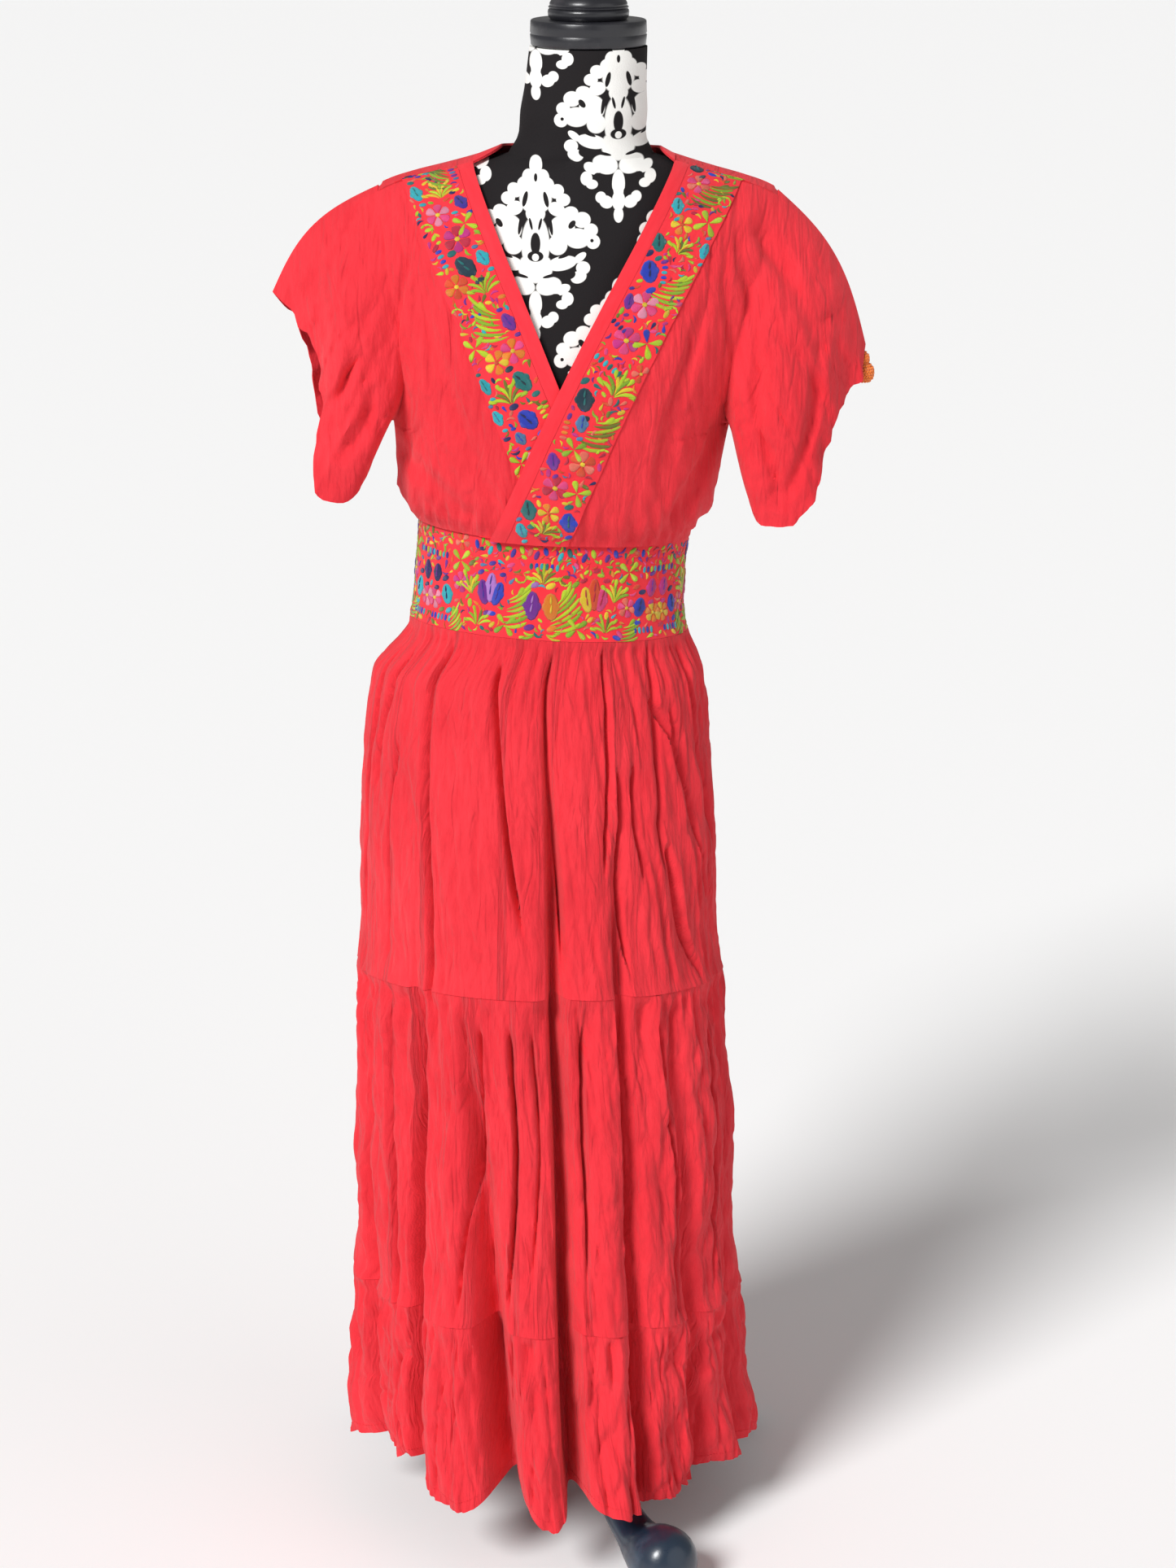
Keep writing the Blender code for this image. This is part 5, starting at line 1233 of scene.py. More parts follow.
def tier_grid(tier, count, rows):
    fine = np.linspace(-180, 180, 4001)
    z = 0.6 * seam_height(tier + 1, fine) + 0.4 * seam_height(tier, fine)
    x, y = oval_place(skirt_section(z), fine, skirt_inward(tier, fine, z) + skirt_detail(tier, fine, z))
    run = np.concatenate([[0], np.cumsum(np.hypot(np.diff(x), np.diff(y)))])
    run = run / run[-1] + 0.3 * np.linspace(0, 1, 4001)
    bearing = np.interp(np.arange(count) / count * run[-1], run, fine)[None, :]
    top = seam_height(tier, bearing)
    low = seam_height(tier + 1, bearing) + (SEAM if tier < 2 else 0.0)
    if tier == 2:
        low = low + 0.0040 * ripple(bearing * 0.12, 0 * bearing, 91) + 0.0022 * ripple(bearing * 0.4, 0 * bearing, 92)
        for at, half, rise in HEM_RISES:
            low = low + rise * raised(turn_between(bearing, at) / half)
    t = spaced(rows + 1)[:, None] ** (1.0 if tier else 1.15)
    z = mix(top, low, t)
    inward = kept_clear(bearing, z, skirt_inward(tier, bearing, z) + skirt_detail(tier, bearing, z))
    x, y = oval_place(skirt_section(z), bearing, inward)
    return np.stack([x, y, z], -1)


def make_tier(tier, count, rows):
    word = ("upper", "middle", "lower")[tier]
    p = tier_grid(tier, count, rows)
    ids = grid_ids(*p.shape[:2])
    points, quads = p.reshape(-1, 3), quads_of(ids, closed=True)
    run = run_along(p[rows // 2])
    uv = np.stack([np.broadcast_to(run[None, :], p.shape[:2]), p[..., 2]], -1).reshape(-1, 2)
    normals = sheet_normals(points, quads)
    made = ring_cloth(f"skirt_{word}_cloth", points, ids, red_gauze, uv, normals)
    finish_piece(made, "red_gauze", f"skirt_{word}")
    print("tier", word, "runs", round(float(run[-1]), 2), "m round, with its folds")
    return p


make_tier(0, 740, 64)
make_tier(1, 800, 60)
lowest_band = make_tier(2, 940, 38)

# %% [markdown]
# ## Placing many small shapes
# Stitches, satin ovals and the loops of the crocheted bobble are all small shapes set by the
# hundred. One Geometry Nodes tree does this: every point of a plain mesh says which shape it
# gets, how it is turned, how large it is and which thread it has. The instances are made
# real and get their finish inside the tree, and the result is kept as a plain mesh.


# %% The placing tree and its shapes
def placing_tree():
    tree = bpy.data.node_groups.new("placed_shapes", "GeometryNodeTree")
    for label, kind in (("Geometry", "Geometry"), ("Shapes", "Collection"), ("Finish", "Material")):
        tree.interface.new_socket(label, in_out="INPUT", socket_type="NodeSocket" + kind)
    tree.interface.new_socket("Geometry", in_out="OUTPUT", socket_type="NodeSocketGeometry")
    given, out = tree.nodes.new("NodeGroupInput").outputs, tree.nodes.new("NodeGroupOutput")

    def named(label, kind):
        read = node(tree, "GeometryNodeInputNamedAttribute", {"Name": label}, data_type=kind)
        return read.outputs["Attribute"]

    shapes = node(tree, "GeometryNodeCollectionInfo", {
        "Collection": given["Shapes"], "Separate Children": True, "Reset Children": True,
    })
    turn = node(tree, "FunctionNodeEulerToRotation", {0: named("turn", "FLOAT_VECTOR")})
    placed = node(tree, "GeometryNodeInstanceOnPoints", {
        "Points": given["Geometry"], "Instance": shapes.outputs[0], "Pick Instance": True,
        "Instance Index": named("kind", "INT"), "Rotation": turn.outputs[0],
        "Scale": named("size", "FLOAT_VECTOR"),
    })
    real = node(tree, "GeometryNodeRealizeInstances", {"Geometry": placed.outputs[0]})
    coloured = node(tree, "GeometryNodeSetMaterial", {
        "Geometry": real.outputs[0], "Material": given["Finish"],
    })
    tree.links.new(coloured.outputs[0], out.inputs[0])
    return tree


PLACING = placing_tree()


def unit_shape(name, taper, lean, count=12):
    """A low closed dome about one long and one wide. taper says how wide it is at its middle
    and how much that grows along it, and lean how far it bows sideways. Its own x and y are
    kept as attributes, so that threads can run across it."""
    turns = np.arange(count) * 2 * np.pi / count
    start, growth = taper

    def ring(scale, narrow, height):
        x = 0.5 * np.cos(turns) * scale
        y = 0.5 * np.sin(turns) * (start + growth * x) * narrow
        return [(a, b + lean * (0.25 - a * a), height) for a, b in zip(x, y)]

    points = ring(1.0, 1.0, -0.25) + ring(0.82, 0.68, 0.80) + [(0, lean * 0.25, 1.0)]
    faces = [tuple(reversed(range(count)))]
    for i in range(count):
        k = (i + 1) % count
        faces += [(i, k, count + k, count + i), (count + i, count + k, 2 * count)]
    mesh = bpy.data.meshes.new(name)
    mesh.from_pydata(points, [], faces)
    for label, axis in (("unit_x", 0), ("unit_y", 1)):
        kept = mesh.attributes.new(label, "FLOAT", "POINT")
        kept.data.foreach_set("value", np.array(points, np.float32)[:, axis].copy())
    mesh.shade_smooth()
    return bpy.data.objects.new(name, mesh)


library = bpy.data.collections.new("thread_shapes")
KINDS = ("oval", "blade", "blade_left", "blade_right", "petal")
BLADE = (0.75, 0.7)
SHAPES = (((1.0, 0.0), 0.0), (BLADE, 0.0), (BLADE, 2.4), (BLADE, -2.4), ((0.62, 1.1), 0.0))
for number, (kind, (taper, lean)) in enumerate(zip(KINDS, SHAPES)):
    library.objects.link(unit_shape(f"{number}_{kind}", taper, lean))


def place_shapes(name, finish, places, kinds, turns, sizes, threads):
    """Runs the placing tree on points with these attributes and returns a plain mesh object."""
    mesh = bpy.data.meshes.new(name + "_points")
    mesh.from_pydata(np.asarray(places).tolist(), [], [])
    for label, kind, key, values in (
        ("kind", "INT", "value", kinds), ("turn", "FLOAT_VECTOR", "vector", turns),
        ("size", "FLOAT_VECTOR", "vector", sizes), ("thread", "FLOAT_COLOR", "color", threads),
    ):
        kept = mesh.attributes.new(label, kind, "POINT")
        kept.data.foreach_set(key, np.asarray(values, np.int32 if kind == "INT" else np.float32).ravel())
    for axis, label in enumerate(("length", "width")):
        kept = mesh.attributes.new(label, "FLOAT", "POINT")
        kept.data.foreach_set("value", np.asarray(sizes, np.float32)[:, axis].copy())
    source = link(bpy.data.objects.new(name + "_points", mesh))
    modifier = source.modifiers.new("placing", "NODES")
    modifier.node_group = PLACING
    for item in PLACING.interface.items_tree:
        if item.in_out == "INPUT" and item.name != "Geometry":
            modifier[item.identifier] = {"Shapes": library, "Finish": finish}[item.name]
    bpy.context.view_layer.update()
    ready = source.evaluated_get(bpy.context.evaluated_depsgraph_get())
    made = bpy.data.objects.new(name, bpy.data.meshes.new_from_object(ready))
    made.data.name = name
    bpy.data.objects.remove(source)
    return link(made)


def forget(mesh, *labels):
    """Takes off the attributes that only placed the shapes."""
    for label in ("unit_x", "unit_y", "length", "width", "size", "turn", "kind", *labels):
        if label in mesh.attributes:
            mesh.attributes.remove(mesh.attributes[label])


def place_ovals(name, finish, rows, slot):
    """Plain ovals of one thread, from rows of place, turn and size."""
    places, turns, sizes = zip(*rows)
    made = place_shapes(name, finish, places, [0] * len(rows), turns, sizes, [(1, 1, 1, 1)] * len(rows))
    forget(made.data, "thread")
    finish_piece(made, slot)


# %% [markdown]
# ## Embroidery motifs
# The embroidery is dense satin stitch in bright thread: sprays and combs of leaves, curled
# tips, round blossoms, small rows of beads and large shaded ovals. Each motif is a small
# function that lays a few padded shapes on a flat band, with sizes in millimetres. Their
# order on each band is listed below, and small filling shapes go into the gaps between
# them, so that some of the red ground still shows.


# %% Threads and motifs
def thread(*rgb):
    return tuple(((c / 255 + 0.055) / 1.055) ** 2.4 if c > 10 else c / 3295 for c in rgb) + (1.0,)


THREAD = {
    "lime": thread(196, 226, 30), "leaf": thread(150, 196, 30), "olive": thread(122, 128, 28),
    "yellow": thread(250, 214, 40), "orange": thread(252, 140, 28), "coral": thread(255, 118, 96),
    "flame": thread(246, 84, 36), "pink": thread(250, 70, 140), "crimson": thread(208, 24, 66),
    "magenta": thread(216, 40, 142), "turquoise": thread(40, 190, 205), "royal": thread(36, 66, 205),
    "teal": thread(14, 120, 120), "dark": thread(12, 52, 70), "navy": thread(24, 28, 100),
    "purple": thread(122, 36, 160), "indigo": thread(70, 44, 170), "lilac": thread(190, 130, 220),
    "steel": thread(86, 134, 184), "rose": thread(250, 150, 180),
}
WARM = "coral flame crimson pink orange magenta".split()
LEAVES = "lime olive leaf yellow".split()
COOL = "royal turquoise teal navy purple steel".split()
GREENS = "lime leaf lime olive lime"
LEAFY = "lime yellow olive"


def off(x, y, turn, far):
    """The place that lies far from (x, y) in the direction turn."""
    run = math.radians(turn)
    return x + far * math.cos(run), y + far * math.sin(run)


class Layout:
    """Padded shapes on a flat band: x across and y down, in millimetres."""

    def __init__(self, seed, scale):
        self.scale = scale
        self.rows = []
        self.taken = []
        self.random = np.random.RandomState(seed)

    def pad(self, kind, x, y, turn, length, width, colour, rise=0.75):
        length *= self.random.uniform(0.93, 1.07)
        turn += self.random.uniform(-4, 4)
        shade = self.random.uniform(0.82, 1.12)
        tint = tuple(min(1.0, c * shade) for c in THREAD[colour][:3]) + (1.0,)
        self.rows.append((KINDS.index(kind), x, y, turn, length, width, rise, tint))
        self.taken += [(*off(x, y, turn, s * length), width / 2) for s in (-0.32, 0.0, 0.32)]

    def free(self, x, y, room):
        near = np.array(self.taken)
        return np.min(np.hypot(near[:, 0] - x, near[:, 1] - y) - near[:, 2]) > room

    def from_base(self, kind, x, y, turn, start, length, width, colour, rise=0.75):
        middle = off(x, y, turn, start + length / 2)
        self.pad(kind, *middle, turn, length, 1.22 * width, colour, rise)


def spray(lay, x, y, turn, size, colours, count=7, spread=66):
    """Blades that fan out from one point, fuller at their tips on both sides."""
    size *= lay.scale
    colours = colours.split()
    for k in range(count):
        s = 2 * k / (count - 1) - 1
        kind = "blade_left" if s < -0.2 else "blade_right" if s > 0.2 else "blade"
        length = size * (1 - 0.22 * abs(s)) * lay.random.uniform(0.85, 1.1)
        lean = turn + s * spread
        lay.from_base(kind, x, y, lean, 0.8, length, 0.13 * size + 0.9, colours[k % len(colours)])
        if k % 2 == 0:
            lay.pad("petal", *off(x, y, lean, length * 0.92), lean, 0.42 * size, 0.27 * size, colours[0], 0.95)


def comb(lay, x, y, turn, size, colours, pairs=4):
    """Curved blades side by side, as leaves on one side of a stem."""
    size *= lay.scale
    colours = colours.split()
    for k in range(pairs + 3):
        foot = off(x, y, turn, (k - 0.5 * pairs - 1) * 0.20 * size)
        length = size * lay.random.uniform(0.9, 1.35)
        lean = turn + 72 - 5 * k + lay.random.uniform(-5, 5)
        lay.from_base("blade_left", *foot, lean, -0.5 * length, length, 0.14 * size + 0.5, colours[k % len(colours)])
    lay.pad("petal", *off(x, y, turn, 0.5 * size), turn + 30, 0.5 * size, 0.3 * size, colours[0], 0.95)


def sprig(lay, x, y, turn, size, colours="lime"):
    """Four leaves in a cross, thin at the middle and round at their ends."""
    size *= lay.scale
    colours = colours.split()
    for k in range(4):
        lean = turn + 40 + 90 * k
        lay.from_base("petal", x, y, lean, 0.2, size * 0.60, size * 0.30, colours[k % len(colours)], 0.95)


def bloom(lay, x, y, size, colours, petals=6, centre="yellow"):
    size *= lay.scale
    colours = colours.split()
    for k in range(petals):
        lean = 360 * k / petals + 17
        lay.from_base("petal", x, y, lean, 0.7, size * 0.46, size * 0.40, colours[k % len(colours)])
    lay.pad("oval", x, y, 0, size * 0.20, size * 0.20, centre, 1.2)


def patch(lay, x, y, turn, length, width, colours):
    """A large shaded oval with two darker strokes on it and two small ovals beside it."""
    colour, stroke = colours.split()
    length *= 1.08 * lay.scale
    width *= 1.15 * lay.scale
    lay.pad("oval", x, y, turn, length, width, colour, 1.1)
    lay.pad("oval", x, y, turn + 90, width * 1.16, length * 0.52, colour, 1.0)
    for s in (-0.24, 0.06):
        lay.pad("blade", *off(x, y, turn, s * length), turn + 6, length * 0.34, width * 0.20, stroke, 1.9)
    for s, tint in ((-0.72, stroke), (0.74, colour)):
        lay.pad("oval", *off(x, y, turn, s * length), turn + 70, width * 0.62, width * 0.40, tint, 0.8)


def beads(lay, x, y, turn, colours, count=4, step=3.0, length=4.2, width=2.4, bow=0.0):
    """A row of small ovals side by side, bowed a little."""
    step, length, width = (v * lay.scale for v in (step, length, width))
    colours = colours.split()
    for k in range(count):
        s = k - (count - 1) / 2
        place = off(*off(x, y, turn, s * step), turn + 90, bow * (s * s))
        lay.pad("oval", *place, turn + 90, length, width, colours[k % len(colours)])


def curl(lay, x, y, turn, size, hand=1):
    """A hooked leaf with a round tip."""
    size *= lay.scale
    for k in range(6):
        lean = turn + hand * 38 * k
        place = off(x, y, lean, size * (0.52 - 0.035 * k))
        lay.pad("oval", *place, lean + 90, size * 0.42, 0.26 * size - 0.035 * size * k, "lime")


def fill_gaps(lay, low, high, start, end, tries):
    """Small shapes in the gaps, in warm colours close to the cloth's, in leaf colours and, fewer, in cool ones."""
    for _ in range(tries):
        x = lay.random.uniform(low, high)
        y = lay.random.uniform(start, end)
        size = lay.random.uniform(5.0, 9.5)
        if lay.free(x, y, size * 0.15 + 0.1):
            kind = ("oval", "blade_left", "blade_right", "petal")[lay.random.randint(4)]
            colours = (WARM, WARM, LEAVES, LEAVES, COOL)[lay.random.randint(5)]
            width = 0.34 * size + 0.6 if kind.startswith("blade") else 0.52 * size + 0.4
            turn = lay.random.uniform(0, 360)
            lay.pad(kind, x, y, turn, size, width, colours[lay.random.randint(len(colours))], 0.65)


print("threads:", len(THREAD))

# %% [markdown]
# The neckline bands are read from the shoulder down. A place is given by its share across
# the band, from the binding outwards, and its share down the band.

# %% Order of the motifs on the neckline bands
BAND_LENGTH = 405
LEFT_BAND = (
    (patch, 0.16, 0.020, 60, 12, 7, "dark teal"),
    (beads, 0.48, 0.030, 10, "royal steel", 4, 3.0, 4.0), (spray, 0.72, 0.070, -70, 13, GREENS),
    (bloom, 0.30, 0.085, 15, "coral pink"), (comb, 0.62, 0.120, -60, 15, "olive leaf"),
    (curl, 0.88, 0.150, 200, 8), (patch, 0.12, 0.150, 70, 11, 6, "turquoise teal"),
    (beads, 0.42, 0.155, 80, "pink crimson"), (sprig, 0.76, 0.205, 10, 15),
    (bloom, 0.34, 0.205, 14, "yellow orange", 5, "flame"),
    (patch, 0.10, 0.250, 65, 12, 7, "teal dark"), (spray, 0.50, 0.285, -80, 12, LEAFY),
    (patch, 0.93, 0.280, 80, 10, 5, "turquoise steel"),
    (patch, 0.20, 0.325, 60, 14, 9, "royal navy"),
    (beads, 0.46, 0.335, 70, "royal turquoise", 4, 2.9, 3.8, 2.3),
    (comb, 0.72, 0.375, -75, 16, "lime leaf"), (bloom, 0.40, 0.410, 17, "pink rose"),
    (patch, 0.12, 0.400, 75, 10, 5, "purple indigo"), (curl, 0.90, 0.435, 200, 8),
    (beads, 0.16, 0.462, 20, "navy indigo", 4, 2.8, 4.0, 2.3),
    (bloom, 0.40, 0.500, 17, "magenta pink"), (sprig, 0.76, 0.510, 20, 15, "lime lime royal"),
    (beads, 0.30, 0.560, 15, "turquoise teal", 6, 3.2, 4.6, 2.6),
    (spray, 0.62, 0.640, -85, 16, "lime leaf yellow"), (bloom, 0.90, 0.585, 11, "coral flame", 5),
    (patch, 0.20, 0.645, 65, 14, 9, "dark teal"), (patch, 0.34, 0.705, 75, 11, 6, "steel royal"),
    (comb, 0.70, 0.730, -80, 16, "lime olive"), (beads, 0.12, 0.720, 80, "orange coral"),
    (sprig, 0.40, 0.770, 0, 13, "lime leaf"), (bloom, 0.64, 0.808, 16, "coral flame"),
    (curl, 0.92, 0.790, 200, 8), (patch, 0.16, 0.800, 60, 11, 6, "purple indigo"),
    (bloom, 0.38, 0.870, 16, "crimson pink"), (sprig, 0.76, 0.885, 20, 14, "lime lime"),
    (patch, 0.12, 0.930, 60, 13, 8, "teal dark"),
    (bloom, 0.46, 0.938, 13, "yellow orange", 5, "flame"),
    (patch, 0.84, 0.965, 70, 13, 8, "royal teal"), (spray, 0.50, 1.000, -80, 11, LEAFY),
    (patch, 0.16, 0.990, 60, 10, 6, "turquoise steel"),
)
RIGHT_BAND = (
    (comb, 0.36, 0.050, -100, 15, "olive leaf"), (patch, 0.82, 0.030, 110, 11, 6, "royal navy"),
    (beads, 0.12, 0.040, 100, "purple steel", 4, 3.0, 4.0),
    (spray, 0.44, 0.125, -95, 13, "yellow lime"),
    (patch, 0.84, 0.115, 100, 11, 6, "turquoise teal"),
    (patch, 0.14, 0.130, 110, 11, 6, "indigo navy"), (bloom, 0.60, 0.172, 15, "pink rose"),
    (sprig, 0.20, 0.190, 10, 13), (bloom, 0.42, 0.232, 17, "crimson magenta"),
    (curl, 0.86, 0.215, -20, 8, -1), (patch, 0.46, 0.300, 115, 14, 9, "dark teal"),
    (patch, 0.12, 0.275, 105, 10, 6, "turquoise steel"),
    (beads, 0.80, 0.285, 95, "royal turquoise"), (spray, 0.30, 0.365, -95, 13, GREENS),
    (bloom, 0.74, 0.350, 15, "orange flame"), (comb, 0.46, 0.430, -95, 16, "lime leaf"),
    (curl, 0.90, 0.420, -20, 8, -1), (patch, 0.12, 0.430, 105, 11, 6, "purple indigo"),
    (sprig, 0.84, 0.500, 0, 14), (bloom, 0.24, 0.500, 15, "orange pink"),
    (bloom, 0.58, 0.530, 15, "yellow orange", 5, "flame"),
    (patch, 0.28, 0.572, 115, 13, 8, "teal dark"), (spray, 0.60, 0.630, -95, 14, "lime olive"),
    (patch, 0.92, 0.590, 100, 10, 5, "turquoise teal"),
    (patch, 0.44, 0.665, 115, 14, 9, "royal navy"),
    (patch, 0.92, 0.665, 100, 10, 5, "turquoise steel"), (beads, 0.14, 0.650, 100, "lime yellow"),
    (patch, 0.68, 0.712, 105, 9, 5, "steel royal"), (patch, 0.18, 0.735, 105, 10, 6, "royal navy"),
    (bloom, 0.54, 0.762, 15, "pink rose"), (sprig, 0.84, 0.775, 0, 13),
    (comb, 0.36, 0.850, -95, 14, "lime leaf"), (bloom, 0.76, 0.850, 14, "coral flame"),
    (patch, 0.30, 0.930, 110, 13, 8, "dark teal"), (spray, 0.68, 0.970, -90, 12, LEAFY),
)

def on_grid(grid, row, column):
    """Values of a grid between its rows and columns."""
    rows, columns = grid.shape[:2]
    row, column = np.clip(row, 0, rows - 1.0001), np.clip(column, 0, columns - 1.0001)
    j, i = row.astype(int), column.astype(int)
    s, t = (row - j)[:, None], (column - i)[:, None]
    upper = grid[j, i] * (1 - t) + grid[j, i + 1] * t
    return upper * (1 - s) + (grid[j + 1, i] * (1 - t) + grid[j + 1, i + 1] * t) * s


def stitched(name, lay, carry, keep):
    """Places a layout's shapes flat, then carries them onto their band."""
    rows = [row for row in lay.rows if keep(row[1], row[2])]
    kinds, xs, ys, turns, lengths, widths, rises, threads = zip(*rows)
    flat = np.stack([xs, ys, np.zeros(len(rows))], -1) / 1000
    turns = [(0, 0, math.radians(turn)) for turn in turns]
    sizes = np.stack([lengths, widths, rises], -1) / 1000
    made = place_shapes(name, satin_thread, flat, kinds, turns, sizes, threads)
    mesh = made.data
    points = np.empty(len(mesh.vertices) * 3, np.float32)
    mesh.vertices.foreach_get("co", points)
    points = points.reshape(-1, 3).astype(float)
    p, n = carry(points[:, 0], points[:, 1])
    mesh.vertices.foreach_set("co", (p + unit(n) * points[:, 2:3]).astype(np.float32).ravel())
    read = {}
    for label in ("unit_x", "length", "unit_y", "width"):
        read[label] = np.empty(len(points), np.float32)
        mesh.attributes[label].data.foreach_get("value", read[label])
    uv = np.stack([read["unit_x"] * read["length"], read["unit_y"] * read["width"]], -1)
    forget(mesh)
    set_uv(mesh, uv)
    mesh.update()
    print(name, "shapes:", len(rows))
    finish_piece(made, "embroidered_band")


# how far down the band a row of the cloth slants for each millimetre across
SLIDE = 0.484
EDGE_ROOM = (1.4, 49.8)
for side, word, order, seed in ((-1, "right", RIGHT_BAND, 5), (1, "left", LEFT_BAND, 9)):
    p, n, down, wide = band_surface(side)
    lay = Layout(seed, 1.6)
    for motif, across, share, *rest in order:
        x = 51 * across
        motif(lay, x, share * BAND_LENGTH - SLIDE * x, *rest)
    fill_gaps(lay, 2.6, 48.6, -8, BAND_LENGTH - 6, 5000)

    def carry(x, y, p=p, n=n, down=down, wide=wide):
        row = np.interp(y + SLIDE * x, down, np.arange(len(down)))
        column = np.interp(x, wide, np.arange(len(wide)))
        near, out = on_grid(p, row, column), on_grid(n, row, column)
        return near + out * (SEAM + TRIM), out

    def keep(x, y, last=float(down[-1]) * 1000):
        return 2.0 < y + SLIDE * x < last - 3.0 and EDGE_ROOM[0] < x < EDGE_ROOM[1]

    stitched(f"embroidery_{word}", lay, carry, keep)

# %% [markdown]
# The waistband's pattern is the same on both sides of a middle line: two large ovals with
# leafy sprays, a fruit cluster on either side and a row of small shapes along the top. It
# repeats three times round the waist, so that the sides and the back are covered as well.


# %% Waistband embroidery
def waist_panel(lay, middle, turn_about):
    m = -1 if turn_about else 1

    def at(x):
        return middle + m * x

    patch(lay, at(-9), 60, 94, 19, 10.5, "purple lilac")
    patch(lay, at(9), 60, 86, 19, 10.5, "orange yellow")
    for s in (-1, 1):
        lean = s * m
        comb(lay, at(s * 22), 62, -90 - lean * 8, 20, "lime leaf lime", 4)
        spray(lay, at(s * 4), 86, 90 - lean * 62, 12, "lime yellow leaf", 4, 34)
        curl(lay, at(s * 20), 34, 90 - lean * 60, 8, lean)
        sprig(lay, at(s * 33), 80, 12, 15, "lime leaf")
        spray(lay, at(s * 60), 84, -90, 13, GREENS, 6, 70)
        spray(lay, at(s * 68), 56, -90 + lean * 14, 17, "lime yellow leaf", 6, 48)
        sprig(lay, at(s * 82), 26, 0, 16)
        patch(lay, at(s * 96), 60, 90 + lean * 12, 14, 9, "turquoise navy" if s < 0 else "royal navy")
        patch(lay, at(s * 110), 42, 90, 13, 8, "navy purple" if s < 0 else "magenta purple")
        comb(lay, at(s * 84), 84, -90 + lean * 20, 15, "leaf lime", 3)
        beads(lay, at(s * 100), 82, 0, "royal turquoise steel", 5, 3.4, 5.0, 2.7)
        beads(lay, at(s * 108), 24, 0, "turquoise indigo lime", 5, 3.3, 5.0, 2.7)
        bloom(lay, at(s * 112), 66, 15, "yellow orange" if s > 0 else "pink rose")
    for middle_x, colours, stroke in ((-49, "purple lilac royal", "indigo"), (49, "yellow flame pink", "crimson")):
        for k, colour in enumerate(colours.split(), -1):
            tall = 22 - 4 * abs(k)
            patch(lay, at(middle_x + 7 * k), 47 + 5 * abs(k), 90 + 12 * k, tall, 8, colour + " " + stroke)
    bloom(lay, at(-82), 8, 13, "coral flame", 5)
    bloom(lay, at(82), 60, 15, "coral pink")
    bloom(lay, at(-80), 46, 15, "pink magenta")
    for k in range(13):
        odd = k % 2
        colour = "royal turquoise teal indigo lime purple".split()[k % 6]
        lay.pad("oval", at(-66 + 11 * k + 3 * odd), 8 + 4 * odd, 70 + 40 * odd, 9.5, 5.2, colour, 0.95)
    spray(lay, at(0), 40, -90, 15, LEAFY, 7, 66)
    beads(lay, at(0), 22, 0, "teal royal turquoise", 6, 3.6, 5.2, 2.8, 0.12)


# the ring's last step, back to its first point, in millimetres
CLOSING = 2.4
WAIST_ROUND = float(around[-1] - around[0]) * 1000 + CLOSING
lay = Layout(17, 1.35)
for k in (-1, 0, 1):
    waist_panel(lay, k * WAIST_ROUND / 3 - 6.0, k != 0)
lay.rows = [row for row in lay.rows if 2.6 < row[2] < 90]
fill_gaps(lay, -WAIST_ROUND / 2, WAIST_ROUND / 2, 3.6, 88.4, 9000)
closed_p = np.concatenate([waist_p, waist_p[:, :1]], axis=1)
closed_n = np.concatenate([waist_n, waist_n[:, :1]], axis=1)


def carry_round(x, y):
    column = np.interp(x, np.append(around, around[-1] + CLOSING / 1000), np.arange(len(around) + 1))
    row = np.clip(y / tall, 0, 1) * 16
    return on_grid(closed_p, row, column), on_grid(closed_n, row, column)


stitched("embroidery_waist", lay, carry_round, lambda x, y: abs(x) < WAIST_ROUND / 2 - 1.5)

# %% [markdown]
# ## Dress form and stand
# The form is a smooth padded torso in a charcoal cover with a large white damask figure. The
# figure is charted here from ovals, mirrored about its own middle line, and repeats in a half
# drop, so that each column of figures fits between its neighbours. The neck ends in a painted
# wooden cap with a turned knob. The stand's pole, hub and three swept legs are glossy black
# wood, rubbed a little on their edges.


# %% Damask cover
# middle x, middle y, half width, half height, tip in degrees; in millimetres
WHITE_OVALS = (
    (0, 73, 6, 8), (6.5, 63, 6, 7), (0, 60, 8, 7),
    (0, 46, 15, 14), (9, 57, 8, 7), (19, 52, 7, 6, 25), (25, 45, 6.5, 5.5), (19, 37, 8, 6, -20), (0, 33, 9, 8),
    (24, 20, 12, 12), (31, 33, 8, 6.5, 20), (42, 28, 8, 7), (50, 19, 6.5, 6), (52, 9, 6.5, 6.5),
    (38, 12, 12, 9), (20, 6, 9, 9), (0, 6, 13, 26), (0, -14, 16, 14),
    (24, -10, 14, 6.5, 12), (40, -5, 7, 3.4, 38), (43, -14, 6.5, 6), (39, -22, 7.5, 5.5, 20),
    (12, -30, 12, 8, 14), (24, -33, 8, 4.5, 22), (29, -41, 5.5, 6), (24, -46, 5.5, 4),
    (0, -46, 6, 12), (0, -60, 6, 9), (11, -61, 6.5, 5.5, 20), (16, -57, 5, 5), (0, -72, 4.5, 7),
)
DARK_OVALS = (
    (0, 63, 1.6, 3.6), (9.5, 45, 2.2, 7, 14), (13.5, 24, 1.8, 10, 10), (4.2, 24, 1.3, 5.5, -14),
    (33, 24, 2.6, 4.4, -40), (51, 10, 1.6, 1.6), (0, 7, 4.6, 10), (0, -4, 7.5, 5), (31, -20, 5.5, 4, 18),
    (26, -3.5, 6, 1.4, 20), (18, -40, 4.6, 3.4, 20), (14, -21, 8, 1.5, 14), (7, -53, 2.6, 4),
)
PEARL = (0, -5, 3.2, 3.4)
# a figure's middle on the form, across and up
FIGURE_AT = {"X": 0.0436, "Z": 1.386}


